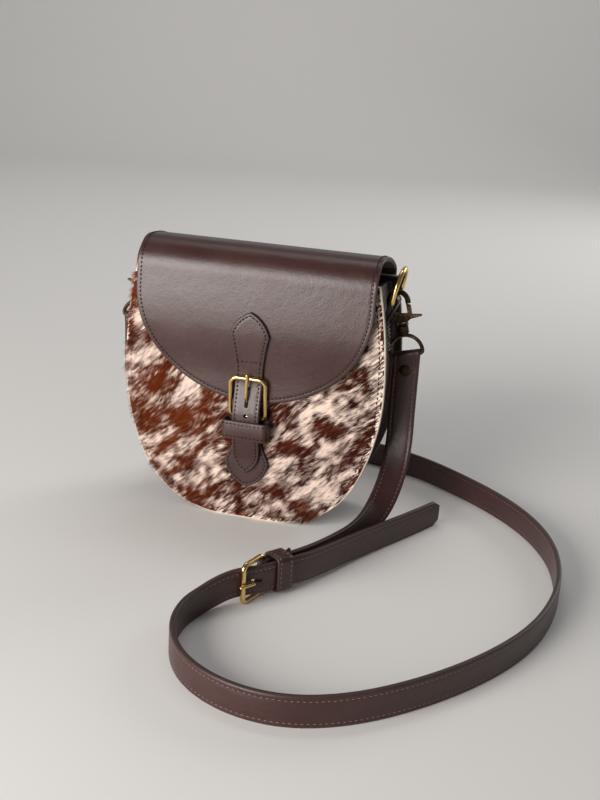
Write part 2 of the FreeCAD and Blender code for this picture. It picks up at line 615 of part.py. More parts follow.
dome_half = size["dome_size"] / 2
dome_radius = (dome_half ** 2 + size["dome_rise"] ** 2) / (2 * size["dome_rise"])
dome = Part.makeSphere(dome_radius, post_at + Vector(0, dome_radius - size["dome_rise"] - leaf_half, 0))
dome_space = Part.makeBox(size["dome_size"], dome_radius, size["dome_size"],
                          post_at + Vector(-dome_half, -dome_radius - leaf_half, -dome_half))
post_barrel = rod(post_at - Vector(0, leaf_half, 0), post_at + Vector(0, leaf_half, 0), size["post_size"] / 2)
shank_half = size["post_size"] / 4
screw_shank = rod(post_at - Vector(0, leaf_half, 0), post_at + Vector(0, leaf_half, 0), shank_half)
post = dome.common(dome_space).fuse(post_barrel).cut(screw_shank).removeSplitter()
both_sides("strap_post", moved(post, end_place))
screw_back = Vector(0, leaf_half + size["screw_rise"], 0)
screw_head = rod(post_at + Vector(0, leaf_half, 0), post_at + screw_back, dome_half)
both_sides("strap_post_screw", moved(screw_head.fuse(screw_shank).removeSplitter(), end_place))

# Shoulder strap: a flat strap that hangs from each hook, twists onto its edge and stands on the ground.
# Each point of a route is the strap's centre; each side vector points to its lower edge on the ground.

HANGING = Vector(1, 0, 0)
TWISTING = Vector(0.8, 0, -0.6)
TURNED = Vector(0.4, 0, -0.9)
ON_EDGE = Vector(0, 0, -1)
buckle_along = Vector(0.6, 0.8, 0)
buckle_face = Vector(0.8, -0.6, 0)
buckle_rise = (size["strap_frame_inner"] + 2 * size["strap_frame_wire"]) / 2
buckle_at = Vector(47.8, -137.8, buckle_rise)


def by_buckle(along, face_out, drop=0):
    return buckle_at + buckle_along * along + buckle_face * face_out - Vector(0, 0, drop)


def opposite(side):
    return Vector(-side.x, side.y, side.z)


strap_top = eye_bar_at + Vector(0, 0, end_low)
straight_down = Vector(0, 0, size["strap_drop"])
short_route = [
    (strap_top, HANGING), (strap_top - straight_down, HANGING), (Vector(108.4, 8.5, 66), HANGING),
    (Vector(107.2, 0, 44), TWISTING), (Vector(103.6, -14, 27), TWISTING), (Vector(98.4, -32, 17), TURNED),
    (Vector(90.4, -54, 13), ON_EDGE), (Vector(80.8, -78, 12.6), ON_EDGE), (Vector(71.6, -100, 13.4), ON_EDGE),
    (by_buckle(23, -0.2, 0.4), ON_EDGE), (by_buckle(size["strap_frame_wire"], 0), ON_EDGE),
]
flat = size["strap_width"] / 2
floor_loop = [
    (-74, 88), (-56, 109), (-30, 123), (8, 130), (48, 128), (84, 119), (118, 104), (152, 80), (186, 51),
    (213, 18), (231, -20), (239, -62), (238, -104), (228, -148), (207, -190), (176, -231), (140, -264),
    (104, -280), (68, -277), (37, -259), (18, -230), (14, -200), (20, -178),
]
long_route = [
    (Vector(-strap_top.x, strap_top.y, strap_top.z), opposite(HANGING)),
    (Vector(-strap_top.x, strap_top.y, strap_top.z) - straight_down, opposite(HANGING)),
    (Vector(-105.0, 17.5, 68), opposite(HANGING)),
    (Vector(-100.5, 28.0, 46), opposite(TWISTING)), (Vector(-93.5, 44.5, 28), opposite(TWISTING)),
    (Vector(-85.0, 66.0, 15), opposite(TURNED)),
]
long_route += [(Vector(x, y, flat), ON_EDGE) for x, y in floor_loop]
long_route += [
    (by_buckle(-34, 1.8, 1.2), ON_EDGE), (by_buckle(-size["strap_frame_length"], 2.3), ON_EDGE),
    (by_buckle(-5, size["strap_pass"]), ON_EDGE), (by_buckle(14, size["strap_pass"] - 0.1), ON_EDGE),
    (by_buckle(33, size["strap_pass"] + 0.4, 0.6), ON_EDGE), (Vector(83.4, -94, 13.2), ON_EDGE),
    (Vector(96.6, -65, 12), ON_EDGE), (Vector(111.8, -36, 11), ON_EDGE), (Vector(127, -8, 10.4), ON_EDGE),
    (Vector(141, 20, flat), ON_EDGE),
]


def rounded_route(route):
    """Sections along straight runs and tangent arcs: (place, direction, side), and the arcs' radii."""
    points = [p for p, side in route]
    sides = [side for p, side in route]
    runs = [points[i + 1] - points[i] for i in range(len(points) - 1)]
    ways = [Vector(r).normalize() for r in runs]
    sections = [(points[0], ways[0], sides[0])]
    radii = []
    length = 0
    last = points[0]
    for i in range(1, len(points) - 1):
        trim = 0.45 * min(runs[i - 1].Length, runs[i].Length)
        bend = ways[i - 1].getAngle(ways[i])
        radius = trim / math.tan(bend / 2)
        radii.append(radius)
        start = points[i] - ways[i - 1] * trim
        end = points[i] + ways[i] * trim
        inward = (ways[i] - ways[i - 1] * ways[i].dot(ways[i - 1])).normalize()
        length += (start - last).Length + radius * bend
        last = end
        before = sides[i - 1] * (trim / runs[i - 1].Length) + sides[i] * (1 - trim / runs[i - 1].Length)
        after = sides[i + 1] * (trim / runs[i].Length) + sides[i] * (1 - trim / runs[i].Length)
        steps = max(2, math.ceil(math.degrees(bend) / 10))
        for k in range(steps + 1):
            angle = bend * k / steps
            share = k / steps
            place = start + ways[i - 1] * (radius * math.sin(angle)) + inward * (radius * (1 - math.cos(angle)))
            way = ways[i - 1] * math.cos(angle) + inward * math.sin(angle)
            sections.append((place, way, before * (1 - share) + after * share))
    sections.append((points[-1], ways[-1], sides[-1]))
    length += (points[-1] - last).Length
    return sections, radii, length


def strap(label, route):
    sections, radii, length = rounded_route(route)
    wires = []
    for place, way, side in sections:
        across_strap = (side - way * side.dot(way)).normalize() * (size["strap_width"] / 2)
        through = way.cross(across_strap).normalize() * leaf_half
        corners = [across_strap + through, through - across_strap]
        corners += [-c for c in corners]
        wires.append(Part.makePolygon([place + c for c in corners] + [place + corners[0]]))
    solid = Part.makeLoft(wires, True, True)
    wanted = size["strap_width"] * size["strap_thick"] * length
    print(label, "length %.0f mm, radii" % length, ["%.0f" % r for r in radii],
          "volume over section times length %.3f" % (solid.Volume / wanted))
    return solid


# The strap buckle lies on its side by the strap: its heel bar is upright at buckle_at.

buckle_matrix = FreeCAD.Matrix(0, -buckle_face.x, -buckle_along.x, buckle_at.x,
                               0, -buckle_face.y, -buckle_along.y, buckle_at.y,
                               1, 0, 0, buckle_at.z)
upright_place = Placement(buckle_matrix)
frame_tilt = math.degrees(math.asin(size["strap_frame_out"] / size["strap_frame_length"]))
tilt_place = upright_place.multiply(Placement(Vector(0, 0, 0), Rotation(Vector(1, 0, 0), frame_tilt)))
strap_frame_half = (size["strap_frame_inner"] + size["strap_frame_wire"]) / 2
strap_frame = buckle_frame(strap_frame_half, size["strap_frame_length"], size["strap_frame_wire"],
                           size["strap_frame_wire"])
feature("strap_buckle", moved(strap_frame, tilt_place))

prong_half = size["prong_wire"] / 2
strap_bar = size["strap_frame_wire"] / 2
strap_prong_over = size["strap_frame_out"] + strap_bar + prong_half + size["turning_fit"]
strap_top_bar = size["strap_frame_length"] * math.cos(math.radians(frame_tilt))
cross_low = strap_bar + size["strap_leaf"] + prong_half
cross_high = cross_low + strap_prong_over - size["turning_fit"] - prong_half
strap_prong_line = [(0, 0), (prong_half, cross_low), (strap_prong_over - size["turning_fit"], cross_high),
                    (strap_prong_over, strap_top_bar + size["strap_frame_wire"])]
strap_prong = bent_rod([Vector(0, -d, z) for d, z in strap_prong_line], prong_half)
eye_body, eye_bore = ring_eye(size["prong_eye_width"], size["prong_eye_size"] / 2,
                              strap_bar + size["turning_fit"])
strap_prong = strap_prong.fuse(eye_body).cut(eye_bore).removeSplitter()
feature("strap_prong", moved(strap_prong, upright_place))

hole_half = size["hole_size"] / 2
hole_low = cross_low + prong_half / 2
punch = Part.makeBox(size["hole_size"], 2 * size["strap_pass"], size["prong_hole_long"],
                     Vector(-hole_half, -2 * size["strap_pass"], hole_low))
feature("shoulder_strap_long", strap("shoulder_strap_long", long_route).cut(moved(punch, upright_place)))

roll = strap_bar + size["turning_fit"] + size["strap_leaf"]
fold_roll, fold_bore = ring_eye(size["strap_width"], roll, strap_bar + size["turning_fit"])
fold_leaf = Part.makeBox(size["strap_width"], size["strap_leaf"] + size["fit"], size["fold_long"],
                         Vector(-strap_half, leaf_half - size["fit"], -size["fold_long"]))
prong_gap = Part.makeBox(size["prong_eye_width"] + 2 * size["fit"], 4 * roll, 2 * (roll + size["fit"]),
                         Vector(-size["prong_eye_width"] / 2 - size["fit"], -2 * roll, -roll - size["fit"]))
short_strap = strap("shoulder_strap_short", short_route)
short_strap = short_strap.fuse([moved(fold_roll, upright_place), moved(fold_leaf, upright_place)])
short_strap = short_strap.cut([moved(fold_bore, upright_place), moved(prong_gap, upright_place)])
short_strap = short_strap.removeSplitter()
feature("shoulder_strap_short", short_strap)

strap_keeper_room = strap_half + 3 * size["fit"]
keeper_front = -(size["strap_pass"] + leaf_half + 2 * size["fit"])
keeper_rear = leaf_half + size["strap_leaf"] + 2 * size["fit"]
keeper_end = -size["strap_keeper_start"] - size["strap_keeper_long"]
strap_keeper = rounded_box(strap_keeper_room + size["keeper_wall"], keeper_front - size["keeper_wall"],
                           keeper_rear + size["keeper_wall"], keeper_end, -size["strap_keeper_start"],
                           2 * size["keeper_wall"])
keeper_room = rounded_box(strap_keeper_room, keeper_front, keeper_rear, keeper_end - OVER,
                          OVER - size["strap_keeper_start"], size["keeper_wall"])
feature("strap_keeper", moved(strap_keeper.cut(keeper_room), upright_place))

# Check every object, then write one file for each piece.

doc.recompute()
for item in doc.Objects:
    if "Invalid" in item.State or "Error" in item.State:
        raise RuntimeError("%s did not compute" % item.Label)
KINDS = ("PartDesign::Body", "Part::Cylinder", "Part::Feature")
pieces = [item for item in doc.Objects if item.TypeId in KINDS]
for piece in pieces:
    if piece.Shape.isNull() or not piece.Shape.isValid():
        raise RuntimeError("%s has no valid shape" % piece.Label)
os.makedirs("parts", exist_ok=True)
for piece in pieces:
    piece.Shape.exportStep("parts/%s.step" % piece.Label)
print(len(pieces), "pieces")
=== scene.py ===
"""Saddle handbag: hide, leather, thread and brass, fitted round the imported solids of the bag."""
import math

import bmesh
import bpy
import numpy as np
from bpy.props import FloatProperty, FloatVectorProperty, IntProperty, PointerProperty
from mathutils import Matrix, Vector


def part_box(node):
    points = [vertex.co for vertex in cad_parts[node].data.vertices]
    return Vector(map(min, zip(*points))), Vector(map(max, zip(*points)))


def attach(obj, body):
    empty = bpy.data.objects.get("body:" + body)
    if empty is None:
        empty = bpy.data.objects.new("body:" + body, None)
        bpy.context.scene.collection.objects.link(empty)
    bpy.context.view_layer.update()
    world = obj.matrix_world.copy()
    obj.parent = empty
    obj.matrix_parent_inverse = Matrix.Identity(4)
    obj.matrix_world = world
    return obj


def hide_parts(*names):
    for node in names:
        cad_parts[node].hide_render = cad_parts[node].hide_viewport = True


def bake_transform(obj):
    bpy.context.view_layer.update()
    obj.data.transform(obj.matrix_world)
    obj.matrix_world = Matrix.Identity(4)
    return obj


bl_info = {
    "name": "Saddle Handbag",
    "version": (1, 0, 0),
    "blender": (4, 5, 0),
    "location": "View3D > Sidebar > Handbag",
    "description": "Hair-on hide, leather, stitching and brass for a saddle handbag",
    "category": "Object",
}

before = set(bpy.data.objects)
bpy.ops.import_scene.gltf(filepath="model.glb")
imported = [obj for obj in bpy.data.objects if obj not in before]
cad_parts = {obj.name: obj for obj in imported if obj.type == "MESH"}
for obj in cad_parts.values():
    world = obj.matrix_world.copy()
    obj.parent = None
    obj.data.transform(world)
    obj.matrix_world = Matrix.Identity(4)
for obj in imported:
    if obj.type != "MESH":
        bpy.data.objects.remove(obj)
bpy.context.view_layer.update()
MM = 0.001


def edges(node):
    """A node's lowest and highest corners in millimetres."""
    low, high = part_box(node)
    return np.array(low) / MM, np.array(high) / MM


FRONT_LOW, FRONT_HIGH = edges("front_panel")
BACK_HIGH = edges("back_panel")[1]
FLAP_LOW, FLAP_HIGH = edges("flap")
ROOT_LOW = edges("flap_root")[0]
CLOSING_LOW, CLOSING_HIGH = edges("closing_strap")
CHAPE_LOW, CHAPE_HIGH = edges("buckle_chape")
KEEPER_LOW, KEEPER_HIGH = edges("closure_keeper")
GUSSET_LOW, GUSSET_HIGH = edges("gusset")
TAB_LOW, TAB_HIGH = edges("ring_tab_right")


def metres(name, description, default):
    return FloatProperty(name=name, description=description, default=default, unit="LENGTH")


def millimetres(name, description, default):
    return FloatProperty(name=name, description=description + ", in millimetres", default=default)


def tint(name, description, default):
    return FloatVectorProperty(name=name, description=description, default=default, subtype="COLOR",
                               size=3, min=0, max=1)


class HandbagSizes(bpy.types.PropertyGroup):
    """Sizes of the soft work."""

    hair_length: metres("Hair Length", "Length of the hide's hair", 0.0072)
    hair_width: metres("Hair Width", "Width of a lock of hair at its root", 0.0006)
    hair_count: IntProperty(name="Hair Count", description="Locks of hair on each panel", default=90000,
                            min=0)
    edge_margin: metres("Stitch Margin", "From the flap's edge to its stitches", 0.0033)
    hide_margin: metres("Hide Stitch Margin", "From a panel's edge to its stitches", 0.0046)
    stitch_pitch: metres("Stitch Pitch", "From one stitch to the next", 0.0030)
    strap_pitch: metres("Strap Stitch Pitch", "From one strap stitch to the next", 0.0034)
    thread_width: metres("Thread Width", "Thickness of the bag's thread", 0.0015)
    strap_thread_width: metres("Strap Thread Width", "Thickness of the strap's thread", 0.0006)
    groove_depth: metres("Groove Depth", "How far the stitches pull the leather in", 0.00015)


class HandbagColours(bpy.types.PropertyGroup):
    """Colours of the hide, leather, thread and metal."""

    leather: tint("Leather", "Dark face of the leather", (0.034, 0.0105, 0.0085))
    leather_pale: tint("Leather Wear", "Rubbed and raised leather", (0.052, 0.020, 0.017))
    edge_paint: tint("Edge Paint", "Painted cut edges", (0.034, 0.018, 0.016))
    flesh: tint("Flesh Side", "Inner face of the leather", (0.040, 0.024, 0.019))
    hide_dark: tint("Dark Hair", "Darkest hair", (0.036, 0.0065, 0.0035))
    hide_rust: tint("Rust Hair", "Reddish hair", (0.115, 0.020, 0.003))
    hide_roan: tint("Roan Hair", "Pale hair mixed into the brown", (0.33, 0.105, 0.06))
    hide_cream: tint("Cream Hair", "Pale hair", (0.93, 0.76, 0.65))
    hide_edge: tint("Hide Edge", "Raw cut edge of the hide", (0.62, 0.50, 0.40))
    thread: tint("Dark Thread", "Thread of the bag", (0.004, 0.003, 0.003))
    strap_thread: tint("Strap Thread", "Thread of the shoulder strap", (0.26, 0.17, 0.15))
    brass: tint("Brass", "Polished brass", (0.78, 0.55, 0.22))
    tarnish: tint("Tarnish", "Dull spots on polished brass", (0.33, 0.20, 0.075))
    old_brass: tint("Old Brass", "Brass with a patina", (0.30, 0.205, 0.10))
    patina: tint("Patina", "Dark patina on old brass", (0.055, 0.036, 0.022))
    steel: tint("Steel", "Spring steel", (0.50, 0.50, 0.50))
    floor: tint("Floor", "Floor of the studio", (0.86, 0.84, 0.81))


# Drawing in a plane: lines and arcs become rows of points a set step apart, in millimetres and degrees.

def line_points(start, end, step):
    start, end = np.array(start, float), np.array(end, float)
    count = max(1, math.ceil(np.linalg.norm(end - start) / step))
    return start + (end - start) * np.linspace(0, 1, count + 1)[:, None]


def spread_arc(centre, radius, start, end, count):
    """A set number of points on an arc."""
    angles = np.radians(np.linspace(start, end, count))
    return np.stack([centre[0] + radius * np.cos(angles), centre[1] + radius * np.sin(angles)], 1)


def arc_points(centre, radius, start, end, step):
    count = max(2, math.ceil(abs(math.radians(end - start)) * radius / step))
    return spread_arc(centre, radius, start, end, count + 1)


def arc_through(start, middle, end, step):
    """The arc from start through middle to end."""
    a, b, c = (complex(*p) for p in (start, middle, end))
    ratio = (c - a) / (b - a)
    centre = a + (b - a) * (ratio - abs(ratio) ** 2) / (ratio - ratio.conjugate())
    first, mid, last = (math.degrees(math.atan2((p - centre).imag, (p - centre).real)) for p in (a, b, c))
    turn = (last - first) % 360
    if (mid - first) % 360 > turn:
        turn -= 360
    return arc_points((centre.real, centre.imag), abs(a - centre), first, first + turn, step)


def joined(*parts):
    """One line of several, each of which starts where the one before it ends."""
    return np.concatenate([parts[0]] + [p[1:] for p in parts[1:]])


def distances(points):
    """How far along a line each of its points lies."""
    return np.concatenate([[0], np.cumsum(np.linalg.norm(np.diff(points, axis=0), axis=1))])


def evenly(points, step):
    """The same line with points an even step apart."""
    points = np.asarray(points, float)
    run = distances(points)
    wanted = np.linspace(0, run[-1], max(2, round(run[-1] / step)) + 1)
    return np.stack([np.interp(wanted, run, column) for column in points.T], 1)


def both_sides(half):
    """A line up the right half, run on from its mirror image; a first point in the middle is used once."""
    nearly_middle = 1e-6
    shared = int(abs(half[0, 0]) < nearly_middle)
    return np.concatenate([half[::-1] * (-1, 1), half[shared:]])


def rounded_loop(low, high, radius):
    """A closed rectangle with round corners, counterclockwise."""
    (left, near), (right, far) = np.array(low) + radius, np.array(high) - radius
    corners = [((right, near), -90), ((right, far), 0), ((left, far), 90), ((left, near), 180)]
    fine, step = 0.8, 1.2
    loop = np.concatenate([arc_points(centre, radius, start, start + 90, fine) for centre, start in corners])
    return evenly(np.concatenate([loop, loop[:1]]), step)[:-1]


def unit(ways):
    return ways / np.linalg.norm(ways, axis=1)[:, None]


def smoothing(reach):
    """Weights that smooth over a set number of points on each side."""
    kernel = np.hanning(2 * reach + 3)[1:-1]
    return kernel / kernel.sum()


def eased(share):
    share = np.clip(share, 0, 1)
    return share * share * (3 - 2 * share)


class Profile:
    """A line in a plane, such as a side view's, with its length and the way in from its skin."""

    def __init__(self, points, step=0.4, soften=0.0):
        line = evenly(points, step)
        if soften:
            reach = int(soften / step)
            padded = np.pad(line, ((reach, reach), (0, 0)), mode="reflect", reflect_type="odd")
            line = np.stack([np.convolve(column, smoothing(reach), "valid") for column in padded.T], 1)
        self.line = line
        self.run = distances(line)
        self.length = self.run[-1]
        way = unit(np.gradient(line, axis=0))
        self.inward = np.stack([way[:, 1], -way[:, 0]], 1)

    def at(self, along, depth):
        first, second = (np.interp(along, self.run, self.line[:, k]) for k in (0, 1))
        in_first, in_second = (np.interp(along, self.run, self.inward[:, k]) for k in (0, 1))
        return first + in_first * depth, second + in_second * depth


# Putting plane shapes into space: a place function takes rows of two plane measures and a depth.

STITCH_LIE = -0.12


def spot(place, first, second, depth):
    """One point in its place."""
    return place(np.array([first]), np.array([second]), np.array([depth]))[0]


def on_skin(place, line, depth=STITCH_LIE):
    """A line in its place at one depth."""
    return place(line[:, 0], line[:, 1], np.full(len(line), depth))


# Meshes. A leather piece has three material slots.

FACE, EDGE, FLESH = 0, 1, 2
WELD = 1e-7
SLIVER = 1e-8
HARD_EDGE = 0.7
HARD_TUBE_EDGE = 1.0
HARD_FOLD_EDGE = 0.9


def placed(name, data):
    """A new object in the scene."""
    piece = bpy.data.objects.new(name, data)
    bpy.context.scene.collection.objects.link(piece)
    return piece


def new_piece(name, verts, faces, materials, slots=None):
    """A smooth mesh object from points in millimetres."""
    mesh = bpy.data.meshes.new(name)
    mesh.from_pydata((np.asarray(verts, float) * MM).tolist(), [], faces)
    for skin in materials:
        mesh.materials.append(skin)
    if slots is not None:
        mesh.polygons.foreach_set("material_index", slots)
    mesh.polygons.foreach_set("use_smooth", [True] * len(mesh.polygons))
    mesh.validate()
    return placed(name, mesh)


def welded(piece):
    """Joins points that share a place."""
    work = bmesh.new()
    work.from_mesh(piece.data)
    bmesh.ops.remove_doubles(work, verts=work.verts, dist=WELD)
    bmesh.ops.dissolve_degenerate(work, edges=work.edges, dist=SLIVER)
    work.to_mesh(piece.data)
    work.free()
    return piece


def outward(piece, angle=HARD_EDGE):
    """Points the faces outwards and keeps the hard edges hard."""
    work = bmesh.new()
    work.from_mesh(piece.data)
    bmesh.ops.remove_doubles(work, verts=work.verts, dist=WELD)
    bmesh.ops.recalc_face_normals(work, faces=work.faces)
    work.to_mesh(piece.data)
    work.free()
    piece.data.set_sharp_from_angle(angle=angle)
    return piece


def evaluated(piece):
    """Replaces the piece's mesh by what its modifiers make of it."""
    graph = bpy.context.evaluated_depsgraph_get()
    mesh = bpy.data.meshes.new_from_object(piece.evaluated_get(graph))
    piece.modifiers.clear()
    old = piece.data
    piece.data = mesh
    bpy.data.meshes.remove(old)
    return piece


def merged(name, *pieces):
    """One piece of several that move together."""
    work = bmesh.new()
    materials = []
    for piece in pieces:
        start = len(work.faces)
        work.from_mesh(piece.data)
        work.faces.ensure_lookup_table()
        table = []
        for skin in piece.data.materials:
            if skin not in materials:
                materials.append(skin)
            table.append(materials.index(skin))
        for face in work.faces[start:]:
            face.material_index = table[face.material_index]
    mesh = bpy.data.meshes.new(name)
    work.to_mesh(mesh)
    work.free()
    for skin in materials:
        mesh.materials.append(skin)
    for piece in pieces:
        bpy.data.meshes.remove(piece.data)
    return placed(name, mesh)


def prism(outline, low, high, place, materials):
    """A closed prism on a plane outline, for punching a hole whose wall is a cut edge."""
    count = len(outline)
    verts = [spot(place, *p, depth) for depth in (low, high) for p in outline]
    faces = [tuple(range(count)), tuple(reversed(range(count, 2 * count)))]
    faces += [(i, i + count, (i + 1) % count + count, (i + 1) % count) for i in range(count)]
    return outward(new_piece("punch", verts, faces, materials, [EDGE] * len(faces)))


def window(half, low, high):
    """The outline of a slot, twice half wide."""
    return np.array([(-half, low), (half, low), (half, high), (-half, high)])


def punched(piece, punches):
    """Cuts the punches out of a closed piece."""
    cutter = merged("punches", *punches)
    cut = piece.modifiers.new("holes", "BOOLEAN")
    cut.operation = "DIFFERENCE"
    cut.solver = "EXACT"
    cut.object = cutter
    evaluated(piece)
    bpy.data.meshes.remove(cutter.data)
    piece.data.set_sharp_from_angle(angle=HARD_EDGE)
    return piece


def mitred(loop):
    """Inward ways of a closed outline's points, long enough at corners to keep the edges parallel."""
    sharpest = 0.25
    way = unit(np.roll(loop, -1, axis=0) - loop)
    normal = np.stack([-way[:, 1], way[:, 0]], 1)
    before = np.roll(normal, 1, axis=0)
    return (normal + before) / np.maximum(1 + (normal * before).sum(1), sharpest)[:, None]


def shrunk(loop, inset, right, top):
    """A symmetrical closed outline drawn in by a set distance, kept from folding at its ends and its middle.
    right and top are the places of its first right-hand point and of the first point after the last one."""
    points = loop + mitred(loop) * inset
    points[:, 1] = np.clip(points[:, 1], points[0, 1], points[top, 1])
    points[:, 0] = np.where(loop[:, 0] > 0, np.maximum(points[:, 0], 0), np.minimum(points[:, 0], 0))
    for end, corner in ((loop[0, 1], right), (loop[top, 1], top - 1)):
        row = loop[:, 1] == end
        points[row, 0] = loop[row, 0] * points[corner, 0] / loop[corner, 0]
    return points


def inset_line(side, inset):
    """The line a set distance inside half an outline."""
    loop = np.concatenate([side, side[::-1][1:-1] * (-1, 1)])
    return shrunk(loop, inset, 1, len(side) - 1)[:len(side)]


def inset_below_flat(side, inset):
    """The line a set distance inside half an outline that ends in a flat top."""
    closed = np.concatenate([side, [(0, side[-1, 1])]])
    return inset_line(closed, inset)[:-1]


def sheet_rings(thick, groove, groove_depth):
    """The rings of a sheet, from its outer skin over the rounded edge to its inner skin, and how many are on
    the outer skin. A ring has its distance from the edge, how far it is pulled in, and its share of the
    thickness."""
    round_share, round_limit = 0.42, 0.9
    skin_start, groove_start, groove_half = 2.2, 2.2, 0.7
    edge_round = min(round_share * thick, round_limit)
    skin = [(edge_round * skin_start, 0.0, 0.0)]
    if groove:
        skin = [(groove + groove_start, 0.0, 0.0), (groove + groove_half, 0.0, 0.0),
                (groove, groove_depth, 0.0), (groove - groove_half, 0.0, 0.0)]
    turn = [(edge_round * (1 - math.sin(a)), edge_round / thick * (1 - math.cos(a)))
            for a in np.radians([0, 30, 60, 90])]
    rings = skin + [(inset, 0.0, part) for inset, part in turn]
    rings += [(inset, 0.0, 1 - part) for inset, part in turn[::-1]]
    rings.append((skin[0][0], 0.0, 1.0))
    return rings, len(skin)


def leather_sheet(name, side, place, thickness, materials, columns, flat_low=False, flat_high=False,
                  groove=None, groove_depth=0.0, relief=None, mirror=False):
    """A closed sheet with rounded cut edges. side is the right half of its outline, going up, in
    millimetres; place puts (across, along, depth from the outer skin) into space. A groove lies under its
    stitches, and relief is how far it stands out along its length."""
    side = np.asarray(side, float)

    def thick_at(along):
        return thickness(along) if callable(thickness) else np.full_like(along, thickness)

    def flat_end(corner, way):
        across = np.linspace(-way * corner[0], way * corner[0], columns + 1)[1:-1]
        return np.stack([across, np.full(columns - 1, corner[1])], 1)

    low = flat_end(side[0], 1) if flat_low else side[:1]
    high = flat_end(side[-1], -1) if flat_high else side[-1:]
    right = side[0 if flat_low else 1: None if flat_high else -1]
    loop = np.concatenate([low, right, high, right[::-1] * (-1, 1)])
    total, rows = len(loop), len(right)
    first_right, first_high = len(low), len(low) + rows
    ahead = np.roll(np.arange(total), -1)
    rings, skin_rings = sheet_rings(float(np.mean(thick_at(loop[:, 1]))), groove, groove_depth)
    last = len(rings) - 1

    plane, deep, faces, slots = [], [], [], []
    for inset, extra, part in rings:
        points = shrunk(loop, inset, first_right, first_high)
        plane.append(points)
        deep.append(extra + part * thick_at(points[:, 1]))
    for ring in range(last):
        here, beyond = ring * total, (ring + 1) * total
        faces += [(beyond + i, beyond + ahead[i], here + ahead[i], here + i) for i in range(total)]
        slots += [FACE if ring < skin_rings else FLESH if ring == last - 1 else EDGE] * total

    count = len(rings) * total
    shares = np.linspace(0, 1, columns + 1)[1:-1, None]
    for ring, part, slot in ((0, 0.0, FACE), (last, 1.0, FLESH)):
        base = ring * total
        points = plane[ring]
        grid = np.zeros((rows, columns + 1), int)
        fresh = []
        for k in range(rows):
            right_at, left_at = first_right + k, total - 1 - k
            grid[k, 0], grid[k, -1] = base + left_at, base + right_at
            if flat_low and k == 0:
                grid[k, 1:-1] = base + np.arange(columns - 1)
            elif flat_high and k == rows - 1:
                grid[k, 1:-1] = base + first_high + np.arange(columns - 1)[::-1]
            else:
                fresh.append(points[left_at] + (points[right_at] - points[left_at]) * shares)
                grid[k, 1:-1] = count + np.arange(columns - 1)
                count += columns - 1
        fresh = np.concatenate(fresh)
        plane.append(fresh)
        deep.append(part * thick_at(fresh[:, 1]))
        skin = [(grid[k, j], grid[k, j + 1], grid[k + 1, j + 1], grid[k + 1, j])
                for k in range(rows - 1) for j in range(columns)]
        for j in range(columns):
            if not flat_low:
                skin.append((base, grid[0, j + 1], grid[0, j]))
            if not flat_high:
                skin.append((grid[-1, j], grid[-1, j + 1], base + first_high))
        faces += skin if slot == FACE else [f[::-1] for f in skin]
        slots += [slot] * len(skin)

    plane, deep = np.concatenate(plane), np.concatenate(deep)
    if relief is not None:
        deep = deep - relief(plane[:, 1])
    verts = place(plane[:, 0], plane[:, 1], deep)
    if mirror:
        verts = verts * (-1, 1, 1)
        faces = [f[::-1] for f in faces]
    faces = [tuple(int(v) for v in f) for f in faces]
    return welded(new_piece(name, verts, faces, materials, slots))


def swept(name, rows, materials, slots, closed_ends=True):
    """A tube through rows of section points; slots gives the material of each strip round the section."""
    rows = np.asarray(rows, float)
    count, around = rows.shape[:2]
    faces, marks = [], []
    for i in range(count - 1):
        here, beyond = i * around, (i + 1) * around
        for j in range(around):
            k = (j + 1) % around
            faces.append((here + j, here + k, beyond + k, beyond + j))
            marks.append(slots[j])
    if closed_ends:
        faces += [tuple(range(around)), tuple(range((count - 1) * around, count * around))]
        marks += [slots[0], slots[0]]
    return outward(new_piece(name, rows.reshape(-1, 3), faces, materials, marks), HARD_TUBE_EDGE)


def closed_band(name, loop, heights, wall, place, materials):
    """A flat band round a closed outline, with rounded edges: loop is its outside, heights its two edges."""
    low, high = heights
    edge_round = 0.45 * wall
    section = [(0, low + edge_round), (0, high - edge_round)]
    section += [(edge_round * (1 - math.sin(a)), high - edge_round * (1 - math.cos(a)))
                for a in np.radians([60, 30, 0])]
    section += [(wall - d, z) for d, z in section[::-1][:-1]]
    section += [(wall - d, low + high - z) for d, z in section[1:5]]
    section += [(d, low + high - z) for d, z in section[2:5][::-1]]
    outside, inner_rim = 0, 7
    slots = [EDGE] * len(section)
    slots[outside] = FACE
    slots[inner_rim] = FLESH
    rows = [[spot(place, *(point + inward * d), z) for d, z in section]
            for point, inward in zip(loop, mitred(loop))]
    rows.append(rows[0])
    return swept(name, rows, materials, slots, closed_ends=False)


def band_rows(loop, heights, place):
    """Two stitch lines round a band, just outside its skin."""
    margin, lift = 2.4, 0.05
    line = loop - mitred(loop) * lift
    line = np.concatenate([line, line[:1]])
    return [on_skin(place, line, height) for height in (heights[0] + margin, heights[1] - margin)]


# Node trees. In shaders, sums are written as Python sums.

class Value:
    """A shader value; arithmetic on it adds Math nodes."""

    def __init__(self, finish, socket):
        self.finish = finish
        self.socket = socket

    def __add__(self, other):
        return self.finish.math("ADD", self, other)

    def __mul__(self, other):
        return self.finish.math("MULTIPLY", self, other)

    def __sub__(self, other):
        return self.finish.math("SUBTRACT", self, other)

    def __rsub__(self, other):
        return self.finish.math("SUBTRACT", other, self)

    __radd__ = __add__
    __rmul__ = __mul__

    def clipped(self, low, high):
        """0 below low, 1 above high, smooth between."""
        node = self.finish.add("ShaderNodeMapRange", {"interpolation_type": "SMOOTHSTEP"}, Value=self,
                               From_Min=low, From_Max=high)
        return Value(self.finish, node.outputs["Result"])


